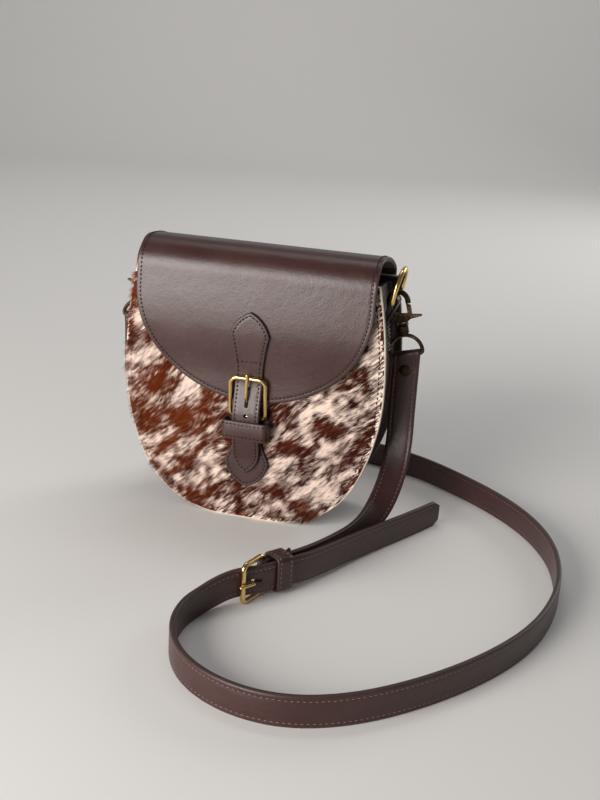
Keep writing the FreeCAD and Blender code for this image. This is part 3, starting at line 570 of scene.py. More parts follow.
class Nodes:
    """A node tree that is being built."""

    def __init__(self, tree):
        self.tree = tree

    def add(self, kind, settings=None, *values, **inputs):
        """A new node: its settings first, then the values or links of its sockets, by their place or name."""
        node = self.tree.nodes.new(kind)
        for key, value in (settings or {}).items():
            setattr(node, key, value)
        for socket, value in zip(node.inputs, values):
            self.feed(socket, value)
        for key, value in inputs.items():
            self.feed(node.inputs[key.replace("_", " ")], value)
        return node

    def feed(self, socket, value):
        if isinstance(value, Value):
            value = value.socket
        if isinstance(value, bpy.types.NodeSocket):
            self.tree.links.new(value, socket)
        else:
            socket.default_value = value


# Geometry Nodes: rows of stitches along lines, and hair on a patch of hide.

class Tree(Nodes):
    """A Geometry Nodes tree with its named inputs."""

    def __init__(self, name, **inputs):
        super().__init__(bpy.data.node_groups.new(name, "GeometryNodeTree"))
        self.sockets = {}
        sides = self.tree.interface
        sides.new_socket("Geometry", in_out="INPUT", socket_type="NodeSocketGeometry")
        for label, (socket_type, default) in inputs.items():
            socket = sides.new_socket(label, in_out="INPUT", socket_type=socket_type)
            if default is not None:
                socket.default_value = default
            self.sockets[label] = socket.identifier
        sides.new_socket("Geometry", in_out="OUTPUT", socket_type="NodeSocketGeometry")
        self.start = self.add("NodeGroupInput")

    def given(self, label):
        return self.start.outputs[label]

    def vectors(self, operation, *values, **inputs):
        """Vector Math on links and values."""
        return self.add("ShaderNodeVectorMath", {"operation": operation}, *values, **inputs).outputs[0]

    def finish(self, instances, coat):
        """Ends the tree with plain meshes that wear the material of a named input."""
        solid = self.add("GeometryNodeRealizeInstances", Geometry=instances)
        dressed = self.add("GeometryNodeSetMaterial", Geometry=solid.outputs[0], Material=self.given(coat))
        self.add("NodeGroupOutput", None, dressed.outputs[0])
        return self

    def apply(self, piece, **values):
        modifier = piece.modifiers.new(self.tree.name, "NODES")
        modifier.node_group = self.tree
        for label, value in values.items():
            modifier[self.sockets[label]] = value
        return evaluated(piece)


def stitch_tree():
    tree = Tree("stitch_row", Pitch=("NodeSocketFloat", 0.0028),
                Size=("NodeSocketVector", (0.002, 0.0008, 0.0007)), Thread=("NodeSocketMaterial", None))
    line = tree.add("GeometryNodeMeshToCurve", Mesh=tree.given("Geometry"))
    spaced = tree.add("GeometryNodeResampleCurve", {"mode": "LENGTH"}, Curve=line.outputs[0],
                      Length=tree.given("Pitch"))
    ball = tree.add("GeometryNodeMeshUVSphere", Segments=6, Rings=4, Radius=0.5)
    smooth = tree.add("GeometryNodeSetShadeSmooth", Geometry=ball.outputs[0])
    way = tree.add("GeometryNodeInputTangent")
    turned = tree.add("FunctionNodeAlignRotationToVector", {"axis": "X"}, Vector=way.outputs[0])
    rows = tree.add("GeometryNodeInstanceOnPoints", Points=spaced.outputs[0], Instance=smooth.outputs[0],
                    Rotation=turned.outputs[0], Scale=tree.given("Size"))
    return tree.finish(rows.outputs[0], "Thread")


def hair_tree():
    """Locks that follow a way, drift from it in tufts and stray one by one."""
    centre, drift_share, in_plane = (0.5, 0.5, 0.5), (4.5, 4.5, 4.5), (1.0, 0.0, 1.0)
    stray_seed, length_seed = 11, 5
    shortest, longest = 0.65, 1.2
    tree = Tree("short_hair", Density=("NodeSocketFloat", 1e6), Seed=("NodeSocketInt", 7),
                Way=("NodeSocketVector", (-0.4, 0, -0.9)), Stray=("NodeSocketFloat", 0.3),
                Lock=("NodeSocketObject", None), Coat=("NodeSocketMaterial", None))
    roots = tree.add("GeometryNodeDistributePointsOnFaces", Mesh=tree.given("Geometry"),
                     Density=tree.given("Density"), Seed=tree.given("Seed"))
    place = tree.add("GeometryNodeInputPosition")
    drift = tree.add("ShaderNodeTexNoise", {"noise_dimensions": "3D"}, Vector=place.outputs[0], Scale=24.0,
                     Detail=2.0)
    tuft = tree.vectors("SUBTRACT", drift.outputs["Color"], centre)
    jitter = tree.add("FunctionNodeRandomValue", {"data_type": "FLOAT_VECTOR"}, (-0.5, -0.5, -0.5), centre,
                      Seed=stray_seed)
    both = tree.vectors("MULTIPLY_ADD", tuft, drift_share, jitter.outputs[0])
    bent = tree.vectors("SCALE", both, Scale=tree.given("Stray"))
    way = tree.vectors("ADD", tree.given("Way"), bent)
    flat = tree.vectors("MULTIPLY", way, in_plane)
    rolled = tree.vectors("ADD", roots.outputs["Normal"], jitter.outputs[0])
    turned = tree.add("FunctionNodeAxesToRotation", {"primary_axis": "Y", "secondary_axis": "Z"},
                      Primary_Axis=flat, Secondary_Axis=rolled)
    lock = tree.add("GeometryNodeObjectInfo", Object=tree.given("Lock"))
    grown = tree.add("FunctionNodeRandomValue", {"data_type": "FLOAT"}, Seed=length_seed, Min=shortest,
                     Max=longest)
    fur = tree.add("GeometryNodeInstanceOnPoints", Points=roots.outputs["Points"],
                   Instance=lock.outputs["Geometry"], Rotation=turned.outputs[0], Scale=grown.outputs[1])
    return tree.finish(fur.outputs[0], "Coat")


TREES = {}


def tree_of(make):
    if make not in TREES:
        TREES[make] = make()
    return TREES[make]


def sewn(name, lines, pitch, thread, width, length_share=0.64, flatness=0.6):
    """A row of stitches along each line of points, in millimetres; pitch and width are in metres."""
    step = 0.8
    points, pairs = [], []
    for line in lines:
        line = evenly(line, step)
        pairs += [(len(points) + i, len(points) + i + 1) for i in range(len(line) - 1)]
        points += (line * MM).tolist()
    mesh = bpy.data.meshes.new(name)
    mesh.from_pydata(points, pairs, [])
    size = (pitch * length_share, width, width * flatness)
    return tree_of(stitch_tree).apply(placed(name, mesh), Pitch=pitch, Size=size, Thread=thread)


# Materials.

class Finish(Nodes):
    """A material: one Principled shader and the nodes that feed it."""

    def __init__(self, name):
        self.material = bpy.data.materials.new(name)
        self.material.use_nodes = True
        super().__init__(self.material.node_tree)
        self.shader = self.tree.nodes["Principled BSDF"]
        self.place = self.add("ShaderNodeTexCoord").outputs["Object"]

    def math(self, operation, first, second):
        return Value(self, self.add("ShaderNodeMath", {"operation": operation}, first, second).outputs[0])

    def mapped(self, turn, scale):
        """The place, turned and stretched."""
        node = self.add("ShaderNodeMapping", {"vector_type": "TEXTURE"}, Vector=self.place, Rotation=turn,
                        Scale=scale)
        return node.outputs[0]

    def noise(self, scale, detail, roughness, vector=None, distortion=0.0):
        node = self.add("ShaderNodeTexNoise", None, Vector=vector or self.place, Scale=scale, Detail=detail,
                        Roughness=roughness, Distortion=distortion)
        return Value(self, node.outputs[0])

    def cells(self, scale, feature):
        node = self.add("ShaderNodeTexVoronoi", {"feature": feature}, Vector=self.place, Scale=scale)
        return Value(self, node.outputs["Distance"])

    def mix(self, share, first, second):
        first_colour, second_colour, mixed = 6, 7, 2
        node = self.add("ShaderNodeMix", {"data_type": "RGBA"}, share)
        for place, value in ((first_colour, first), (second_colour, second)):
            self.feed(node.inputs[place], (*value, 1) if isinstance(value, tuple) else value)
        return node.outputs[mixed]

    def bump(self, height, distance, strength, under=None):
        node = self.add("ShaderNodeBump", None, Height=height, Distance=distance, Strength=strength)
        if under is not None:
            self.feed(node.inputs["Normal"], under)
        return node.outputs[0]

    def done(self, **inputs):
        for key, value in inputs.items():
            self.feed(self.shader.inputs[key.replace("_", " ")], value)
        return self.material


def colour(name):
    return tuple(getattr(bpy.context.scene.handbag_colours, name))


def toned(tone, share):
    """A colour made darker or paler."""
    return tuple(min(1, share * c) for c in tone)


def leather_finish(name, dark, pale, roughness=0.36, grain=1.0):
    """Smooth full-grain leather: fine pebble grain, pores, soft creases and a little wear."""
    finish = Finish(name)
    cloud = finish.noise(scale=26.0, detail=4.0, roughness=0.6)
    fine = finish.noise(scale=420.0, detail=3.0, roughness=0.6)
    pebble = finish.cells(1250.0, "SMOOTH_F1")
    pores = finish.cells(620.0, "F1").clipped(0.0, 0.22)
    wear = (cloud * 0.75 + fine * 0.35).clipped(0.32, 0.82)
    skin = finish.mix(wear, dark, pale)
    skin = finish.mix((1 - pores) * 0.45, skin, toned(dark, 0.45))
    swell = finish.noise(scale=55.0, detail=2.0, roughness=0.5)
    folds = finish.noise(scale=190.0, detail=3.0, roughness=0.6)
    soft = finish.bump(swell, distance=0.0006, strength=0.35)
    crease = finish.bump(folds, distance=0.00035 * grain, strength=0.4, under=soft)
    height = pebble * 0.6 + pores * 0.5 + fine * 0.35
    normal = finish.bump(height, distance=0.00014 * grain, strength=0.8, under=crease)
    rough = (cloud * 0.16 + fine * 0.10) + (roughness - 0.13)
    return finish.done(Base_Color=skin, Roughness=rough, Normal=normal, Specular_IOR_Level=0.55)


def edge_finish(name, tone):
    """Cut edge: layers of fibre under a worn coat."""
    finish = Finish(name)
    fibre = finish.noise(scale=700.0, detail=4.0, roughness=0.7)
    wear = finish.noise(scale=60.0, detail=3.0, roughness=0.6).clipped(0.45, 0.75)
    skin = finish.mix(fibre * 0.5 + wear * 0.35, tone, toned(tone, 2.1))
    normal = finish.bump(fibre, distance=0.00012, strength=0.5)
    return finish.done(Base_Color=skin, Roughness=fibre * 0.25 + 0.36, Normal=normal)


def flesh_finish(name, tone):
    """Suede side of the leather: short nap."""
    finish = Finish(name)
    nap = finish.noise(scale=900.0, detail=4.0, roughness=0.75)
    cloud = finish.noise(scale=30.0, detail=3.0, roughness=0.6)
    skin = finish.mix(nap * 0.6 + cloud * 0.4, toned(tone, 0.65), toned(tone, 1.4))
    normal = finish.bump(nap, distance=0.0002, strength=0.6)
    return finish.done(Base_Color=skin, Roughness=nap * 0.1 + 0.82, Normal=normal, Sheen_Weight=0.15)


HAIR_LEAN = math.radians(44)
ROOT_SHIFT = 0.5


def hide_finish(name, rooted=False):
    """Hair-on hide: rust and dark brown hair broken by ragged pale patches; pale hair grows towards the right
    as painted light on the side away from the key lamp. A lock takes the colour of its root, whose place its
    Root map holds in metres, shifted to stay above 0."""
    finish = Finish(name)
    if rooted:
        root = finish.add("ShaderNodeUVMap", {"uv_map": "Root"})
        flat = finish.add("ShaderNodeSeparateXYZ", None, Vector=root.outputs[0])
        across = Value(finish, flat.outputs[0]) - ROOT_SHIFT
        finish.place = finish.add("ShaderNodeCombineXYZ", None, X=across, Z=flat.outputs[1]).outputs[0]
    else:
        flat = finish.add("ShaderNodeSeparateXYZ", None, Vector=finish.place)
        across = Value(finish, flat.outputs[0])
    turn = (0, HAIR_LEAN, 0)
    lie = finish.mapped(turn, (1.0, 1.0, 1.4))
    along = finish.mapped(turn, (1.0, 1.0, 7.0))
    strand = finish.noise(scale=760.0, detail=2.0, roughness=0.7, vector=along)
    patch = finish.noise(scale=52.0, detail=3.0, roughness=0.55, vector=lie, distortion=0.3)
    ragged = finish.noise(scale=210.0, detail=2.0, roughness=0.6, vector=lie)
    broad = finish.noise(scale=30.0, detail=3.0, roughness=0.55, vector=lie)
    # The pale share rises towards the right with across: painted light that lightens the side the key lamp
    # leaves in shade.
    cream_and_painted_light = (patch + ragged * 0.4 + strand * 0.8 + across * 0.3).clipped(1.07, 1.27)
    rusty = (broad + ragged * 0.4 + strand * 0.8 - across * 2.0).clipped(0.90, 1.35)
    brown = finish.mix(rusty, colour("hide_dark"), colour("hide_rust"))
    brown = finish.mix(strand.clipped(0.48, 0.68) * 0.5, brown, colour("hide_roan"))
    pale = finish.mix((1 - strand).clipped(0.48, 0.72) * 0.6, colour("hide_cream"), colour("hide_roan"))
    coat = finish.mix(cream_and_painted_light, brown, pale)
    return finish.done(Base_Color=coat, Roughness=strand * 0.2 + 0.5, Specular_IOR_Level=0.03)


def thread_finish(name, tone):
    """Twisted waxed thread."""
    finish = Finish(name)
    ply = finish.noise(scale=1600.0, detail=2.0, roughness=0.5)
    skin = finish.mix(ply, toned(tone, 0.6), toned(tone, 1.35))
    normal = finish.bump(ply, distance=0.0001, strength=0.5)
    return finish.done(Base_Color=skin, Roughness=ply * 0.2 + 0.5, Normal=normal)


def brass_finish(name, tone, patina, worn, roughness):
    """Brass with fine polishing marks; the higher worn is, the more of it is bright."""
    finish = Finish(name)
    cloud = finish.noise(scale=160.0, detail=4.0, roughness=0.65)
    speck = finish.noise(scale=900.0, detail=3.0, roughness=0.6)
    rubbed = finish.mapped((0.6, 0.3, 0.2), (12.0, 1.0, 1.0))
    marks = finish.noise(scale=1500.0, detail=2.0, roughness=0.5, vector=rubbed)
    dull = (cloud * 0.8 + speck * 0.4).clipped(worn - 0.15, worn + 0.25)
    skin = finish.mix(dull, tone, patina)
    rough = cloud * 0.10 + dull * 0.22 + (roughness - 0.05)
    normal = finish.bump(marks + speck, distance=0.00003, strength=0.5)
    return finish.done(Base_Color=skin, Metallic=1.0, Roughness=rough, Normal=normal)


def steel_finish(name, tone):
    """Drawn spring steel."""
    finish = Finish(name)
    along = finish.mapped((0, 0, 0), (1.0, 1.0, 10.0))
    drawn = finish.noise(scale=800.0, detail=2.0, roughness=0.5, vector=along)
    skin = finish.mix(drawn, toned(tone, 0.7), tone)
    return finish.done(Base_Color=skin, Metallic=1.0, Roughness=drawn * 0.2 + 0.25)


def floor_finish(name, tone):
    """Matt paper."""
    finish = Finish(name)
    paper = finish.noise(scale=3.0, detail=3.0, roughness=0.5)
    skin = finish.mix(paper * 0.3, tone, toned(tone, 0.96))
    return finish.done(Base_Color=skin, Roughness=0.85, Specular_IOR_Level=0.2)


MATERIALS = {}
MAKERS = {
    "leather": lambda: leather_finish("dark leather", colour("leather"), colour("leather_pale")),
    "strap_leather": lambda: leather_finish("strap leather", colour("leather"), colour("leather_pale"),
                                            roughness=0.40, grain=1.3),
    "edge": lambda: edge_finish("painted edge", colour("edge_paint")),
    "flesh": lambda: flesh_finish("suede side", colour("flesh")),
    "hide": lambda: hide_finish("hair-on hide"),
    "hair": lambda: hide_finish("hide hair", rooted=True),
    "hide_edge": lambda: edge_finish("raw hide edge", colour("hide_edge")),
    "thread": lambda: thread_finish("dark thread", colour("thread")),
    "strap_thread": lambda: thread_finish("strap thread", colour("strap_thread")),
    "brass": lambda: brass_finish("polished brass", colour("brass"), colour("tarnish"), worn=0.86,
                                  roughness=0.2),
    "old_brass": lambda: brass_finish("old brass", colour("old_brass"), colour("patina"), worn=0.42,
                                      roughness=0.34),
    "steel": lambda: steel_finish("spring steel", colour("steel")),
    "floor": lambda: floor_finish("studio floor", colour("floor")),
}


def material(name):
    if name not in MATERIALS:
        MATERIALS[name] = MAKERS[name]()
    return MATERIALS[name]


def leathers(face="leather"):
    return [material(face), material("edge"), material("flesh")]


def fill(piece, slot, *nodes):
    """Hides the solids that a piece stands for. Its slot is not used."""
    if nodes:
        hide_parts(*nodes)
    return piece


def dress(piece, body, slot, *nodes):
    """Sets a finished piece on its body, in the place of the solids it stands for."""
    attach(piece, body)
    return fill(piece, slot, *nodes)


def bag_stitches(name, body, lines):
    """The bag's dark stitches along each line, riding on a body."""
    sizes = bpy.context.scene.handbag_sizes
    thread = sewn(name, lines, sizes.stitch_pitch, material("thread"), sizes.thread_width)
    return dress(thread, body, "leather")


def strap_stitches(name, lines):
    """The shoulder strap's stitches along each line."""
    sizes = bpy.context.scene.handbag_sizes
    return sewn(name, lines, sizes.strap_pitch, material("strap_thread"), sizes.strap_thread_width,
                length_share=0.62)


# The bag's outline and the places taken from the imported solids, in millimetres.

HALF = FRONT_HIGH[0]
BASE_HALF = 20.0
WIDEST = 113.0
LOWER_TURN = math.radians(65)
SIDE_RADIUS = 350.0
ARC_STEP = (WIDEST - HALF + BASE_HALF) / (math.cos(LOWER_TURN) + math.sin(LOWER_TURN) - 1)
LOW_RADIUS = WIDEST - math.cos(LOWER_TURN) * ARC_STEP
MID_RADIUS = LOW_RADIUS + ARC_STEP
HIDE_THICK = FRONT_HIGH[1] - FRONT_LOW[1]
FRONT_Y = FRONT_LOW[1]
BACK_Y = BACK_HIGH[1]


def bag_side(inset, top, count=34):
    """Right side of the bag's outline from the flat base up, a set distance inside its edge: three arcs."""
    turn = math.degrees(LOWER_TURN) - 90
    low_centre = (BASE_HALF, LOW_RADIUS)
    mid_centre = (HALF - MID_RADIUS, WIDEST)
    side_radius = SIDE_RADIUS - inset
    end = math.degrees(math.asin((top - WIDEST) / side_radius))
    return joined(spread_arc(low_centre, LOW_RADIUS - inset, -90, turn, count),
                  spread_arc(mid_centre, MID_RADIUS - inset, turn, 0, count),
                  spread_arc((HALF - SIDE_RADIUS, WIDEST), side_radius, 0, end, count))


FLAP_THICK = 2.2
LINING_THICK = 1.0
FLAP_RIDGE = FLAP_HIGH[2]
FLAP_BASE = FLAP_LOW[2]
HINGE = np.array([0.0, BACK_Y + FLAP_THICK / 2, 190.0])
FLAP_HALF = FLAP_HIGH[0]
FLAP_BOW = 100.0
FLAP_STRAIGHT = 175.0
BOW_CENTRE = (0.0, FLAP_BASE + FLAP_BOW)
BOW_DROP = BOW_CENTRE[1] - FLAP_STRAIGHT
CORNER_RADIUS = (FLAP_BOW ** 2 - FLAP_HALF ** 2 - BOW_DROP ** 2) / (2 * (FLAP_BOW - FLAP_HALF))
CORNER_CENTRE = (FLAP_HALF - CORNER_RADIUS, FLAP_STRAIGHT)
BOW_MEET = math.degrees(math.atan2(CORNER_CENTRE[1] - BOW_CENTRE[1], CORNER_CENTRE[0]))
FRONT_BEND = 20.0
BACK_BEND = 6.34


def flap_profile():
    """The flap's outer skin in Y and Z, from its front edge over the top and down the back, and its length
    as far as the hinge."""
    step, bend_step, hinge_step = 1.0, 0.5, 0.4
    front = FLAP_LOW[1]
    back = BACK_Y + FLAP_THICK
    front_centre = (front + FRONT_BEND, FLAP_RIDGE - FRONT_BEND)
    reach = back - front_centre[0]
    rise = FLAP_RIDGE - HINGE[2]
    top_bend = (reach ** 2 + rise ** 2 - 2 * BACK_BEND * reach) / (2 * (rise - BACK_BEND))
    top_centre = (front_centre[0], FLAP_RIDGE - top_bend)
    back_centre = (back - BACK_BEND, HINGE[2])
    meet = math.degrees(math.atan2(back_centre[1] - top_centre[1], back_centre[0] - top_centre[0]))
    moving = joined(line_points((front, FLAP_BASE), (front, front_centre[1]), step),
                    arc_points(front_centre, FRONT_BEND, 180, 90, bend_step),
                    arc_points(top_centre, top_bend, 90, meet, bend_step))
    root = joined(arc_points(back_centre, BACK_BEND, meet, 0, hinge_step),
                  line_points((back, HINGE[2]), (back, ROOT_LOW[2]), step))
    return Profile(joined(moving, root)), Profile(moving).length


def flap_bulge(along):
    """How far the flap's front stands out between its bow and the top of its bend."""
    stand, start, crown, end = 3.5, 16.0, 56.0, 116.0
    return stand * eased((along - start) / (crown - start)) * eased((end - along) / (end - crown))


def flap_side(length):
    """Right side of the flap's flat outline: bow, corner and straight edge."""
    step = 2.0
    bow = arc_points(BOW_CENTRE, FLAP_BOW, -90, BOW_MEET, step)
    corner = arc_points(CORNER_CENTRE, CORNER_RADIUS, BOW_MEET, 0, step)
    straight = line_points((FLAP_HALF, FLAP_STRAIGHT), (FLAP_HALF, FLAP_BASE + length), step)
    return joined(bow, corner, straight) - (0, FLAP_BASE)


class HANDBAG_OT_panels(bpy.types.Operator):
    """Front and back panels of hair-on hide, with their hair and seams"""

    bl_idname = "handbag.panels"
    bl_label = "Hide Panels"

    groove: millimetres("Seam Groove", "How far the seam pulls the hide in", 0.3)
    seam_lie: millimetres("Seam Height", "How far the seam's thread stands out", 0.45)
    seam_gap: millimetres("Seam Gap", "From a panel's top to the end of its seam", 3.0)

    def execute(self, context):
        sizes = context.scene.handbag_sizes
        margin = sizes.hide_margin / MM
        longer, thinner = 1.25, 0.7
        mats = [material("hide"), material("hide_edge"), material("flesh")]
        skins = {"front": (FRONT_Y, -1, FRONT_HIGH[2]), "back": (BACK_Y, 1, BACK_HIGH[2])}
        for name, (skin, out, top) in skins.items():
            def place(x, z, depth):
                return np.stack([x * -out, skin - out * depth, z], 1)

            panel = leather_sheet(name + "_hide", bag_side(0, top), place, HIDE_THICK, mats, columns=30,
                                  flat_low=True, flat_high=True, groove=margin, groove_depth=self.groove)
            dress(panel, "bag", "hide", name + "_panel")
            seam = on_skin(place, both_sides(bag_side(margin, top - self.seam_gap)), -self.seam_lie)
            thread = sewn(name + "_seam", [seam], sizes.stitch_pitch * longer, material("thread"),
                          sizes.thread_width * thinner, length_share=0.7, flatness=1.0)
            dress(thread, "bag", "leather")
            self.grow(context, name, place, top)
        return {"FINISHED"}

    def patch(self, name, place, top, reach):
        """Small squares of a panel that hair grows on: clear of the flap and of the panel's edge, and where
        the tips, which reach so far from their roots, hardly pass the edge."""
        step, keep, spill, tucked = 2.0, 1.5, 0.6, 2.0
        base_gap, top_gap = 8.0, 6.0
        side = bag_side(0, top, count=200)
        flap = flap_side(length=200)
        end = top if name == "front" else ROOT_LOW[2]
        verts, faces, index = [], [], {}

        def half_at(z):
            return np.interp(z, side[:, 1], side[:, 0])

        def corner(x, z):
            key = (round(x, 3), round(z, 3))
            if key not in index:
                index[key] = len(verts)
                verts.append(spot(place, x, z, 0.0))
            return index[key]

        for low in np.arange(base_gap, end - top_gap, step):
            high, z = low + step, low + step / 2
            half = min(half_at(low), half_at(high))
            tip_half = half_at(z + reach[2]) + spill
            half_flap = np.interp(z - FLAP_BASE, flap[:, 1], flap[:, 0], left=-1)
            for left in np.arange(-HALF, HALF + step, step)[:-1]:
                right, x = left + step, left + step / 2
                under = min(half_flap - abs(x), FLAP_BOW - math.hypot(x, z - BOW_CENTRE[1]))
                covered = name == "front" and under > tucked
                passes = abs(x + reach[0]) > tip_half
                if covered or passes or max(abs(left), abs(right)) > half - keep:
                    continue
                faces.append((corner(left, low), corner(right, low), corner(right, high), corner(left, high)))
        return new_piece(name + "_hair", verts, faces, [])

    def grow(self, context, name, place, top):
        """Hair on a panel, with a map to bake on and a map of where each lock is rooted."""
        sizes = context.scene.handbag_sizes
        length, width = sizes.hair_length, sizes.hair_width
        lift = 0.13 * length
        lean = HAIR_LEAN + math.radians(4)
        way = (-math.sin(lean), 0.0, -math.cos(lean))
        patch = self.patch(name, place, top, np.array(way) * length / MM)
        area = sum(p.area for p in patch.data.polygons)
        blade = bpy.data.meshes.new("lock")
        blade.from_pydata([(-width / 2, 0, 0), (width / 2, 0, 0), (0, length, lift)], [], [(0, 1, 2)])
        lock = bpy.data.objects.new("lock", blade)
        hair = tree_of(hair_tree).apply(patch, Density=sizes.hair_count / area, Lock=lock, Way=way,
                                        Coat=material("hair"))
        bpy.data.meshes.remove(blade)

        points = np.empty(len(hair.data.vertices) * 3, np.float32)
        hair.data.vertices.foreach_get("co", points)
        points = points.reshape(-1, 3)
        corners = np.empty(len(hair.data.loops), np.int32)
        hair.data.loops.foreach_get("vertex_index", corners)
        roots = points.reshape(-1, 3, 3)[:, :2].mean(1)[corners // 3]
        span = 0.22
        spread = points[corners][:, [0, 2]] / span
        for label, flat in (("OFBake", spread), ("Root", roots[:, [0, 2]])):
            flat = (flat + (ROOT_SHIFT, 0)).astype(np.float32)
            hair.data.uv_layers.new(name=label).data.foreach_set("uv", flat.ravel())
        dress(hair, "bag", "hide")


class HANDBAG_OT_gusset(bpy.types.Operator):
    """The U-shaped leather gusset between the panels"""

    bl_idname = "handbag.gusset"
    bl_label = "Gusset"

    seam_margin: millimetres("Seam Margin", "Width of its flanges", 7.0)
    leaf: millimetres("Leaf", "Thickness of its leather", 2.5)
    sag: millimetres("Sag", "How far its web sags between the panels", 0.8)

    def execute(self, context):
        low, high = GUSSET_LOW[1], GUSSET_HIGH[1]
        margin, leaf = self.seam_margin, self.leaf
        bend, inner_bend, inner_end, cut = 5.0, 5.0, 4.0, 0.02
        # A section's points: how far inside the panels' edge, then how far from a panel or along Y.
        flange = [(0.25, cut), (0.0, 0.5), (0.0, leaf - 0.5), (0.3, leaf - 0.05), (2.5, leaf),
                  (margin - 2.2, leaf), (margin - 0.8, leaf + 0.35), (margin - 0.05, leaf + 1.5),
                  (margin + 0.2, leaf + bend)]

        def web(inset, start, end, count):
            return [(inset + self.sag * math.sin(math.pi * t), start + t * (end - start))
                    for t in np.linspace(0.1, 0.9, count)]

        outer = [(inset, low + depth) for inset, depth in flange]
        outer += web(margin, low + leaf + bend, high - leaf - bend, 9)
        outer += [(inset, high - depth) for inset, depth in flange[::-1]]
        inside = margin + leaf
        inner = [(inside, high - cut), (inside, high - inner_end)]
        inner += web(inside, high - inner_bend, low + inner_bend, 7)
        inner += [(inside, low + inner_end), (inside, low + cut)]
        section = outer + inner
        sides = np.stack([bag_side(inset, GUSSET_HIGH[2]) for inset, y in section], 1)
        ys = np.broadcast_to([y for inset, y in section], sides.shape[:2])
        right = np.stack([sides[:, :, 0], ys, sides[:, :, 1]], 2)
        rows = np.concatenate([right[::-1] * (-1, 1, 1), right])
        rim = [EDGE] * 3
        slots = rim + [FACE] * (len(outer) - 2 * len(rim) - 1) + rim + [FLESH] * (len(inner) + 1)
        dress(swept("gusset_leather", rows, leathers(), slots), "bag", "leather", "gusset")
        return {"FINISHED"}


class HANDBAG_OT_flap(bpy.types.Operator):
    """The flap with its lining, its sewn root and its edge stitching"""

    bl_idname = "handbag.flap"
    bl_label = "Flap"

    lining_inset: millimetres("Lining Inset", "From the flap's edge to its lining's", 0.5)
    stitch_end: millimetres("Stitch End", "From the hinge to the end of the edge stitching", 2.0)

    def execute(self, context):
        sizes = context.scene.handbag_sizes
        profile, lining_length = flap_profile()
        margin = sizes.edge_margin / MM

        def place(x, along, depth):
            y, z = profile.at(along, depth)
            return np.stack([x, y, z], 1)

        def place_under(x, along, depth):
            return place(x, along, depth + FLAP_THICK)

        side = flap_side(profile.length)
        flap = leather_sheet("flap_leather", side, place, FLAP_THICK, leathers(), columns=36, flat_high=True,
                             groove=margin, groove_depth=sizes.groove_depth / MM, relief=flap_bulge)
        fold = np.array([0.0, -0.95, 0.31])
        still, free = -2.6, 4.0
        start, end = ((HINGE + fold * reach) * MM for reach in (still, free))
        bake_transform(flap)
        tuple(start)
        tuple(end)
        fill(flap, "leather", "flap", "flap_root")

        under = inset_below_flat(flap_side(lining_length), self.lining_inset)
        mats = [material("flesh"), material("edge"), material("flesh")]
        lining = leather_sheet("flap_suede", under, place_under, LINING_THICK, mats, columns=30,
                               flat_high=True, relief=flap_bulge)
        dress(lining, "flap", "lining", "flap_lining")

        edge = inset_below_flat(side, margin)
        line = both_sides(edge[edge[:, 1] < lining_length - self.stitch_end])
        lie = STITCH_LIE - flap_bulge(line[:, 1])
        bag_stitches("flap_stitches", "flap", [place(line[:, 0], line[:, 1], lie)])
        root_rises, step = (4.0, 18.0), 2.0
        rows = []
        for rise in root_rises:
            along = profile.length - rise
            across = line_points((margin - FLAP_HALF, along), (FLAP_HALF - margin, along), step)
            rows.append(on_skin(place, across))
        bag_stitches("root_stitches", "bag", rows)
        return {"FINISHED"}


HEEL_OUT = 4.8
HEEL_LOOP = 3.45
HEEL_Z = CHAPE_HIGH[2] - HEEL_LOOP
CLOSING_THICK = 2.6
SPADE_OUT = 3.4


def closing_skin(z):
    """How far the closing strap's outer skin stands from the hide: back under the keeper, out over the heel
    loop, and on the flap."""
    fit, spare = 0.3, 5.0
    keeper_top, flap_low, flap_out = 50.6, 110.0, 3.8
    below_heel, above_heel = 3.2, 3.5
    step, reach = 0.5, 7
    low, high = CLOSING_LOW[2] - spare, CLOSING_HIGH[2] + spare
    tucked, over_heel = SPADE_OUT + fit, HEEL_OUT + HEEL_LOOP + fit
    heights = (low, keeper_top, HEEL_Z - below_heel, HEEL_Z + above_heel, flap_low, high)
    stand = (tucked, tucked, over_heel, over_heel, flap_out, flap_out)
    fine = np.arange(low, high, step)
    out = np.pad(np.interp(fine, heights, stand), reach, mode="edge")
    return np.interp(z, fine, np.convolve(out, smoothing(reach), "valid")) + CLOSING_THICK


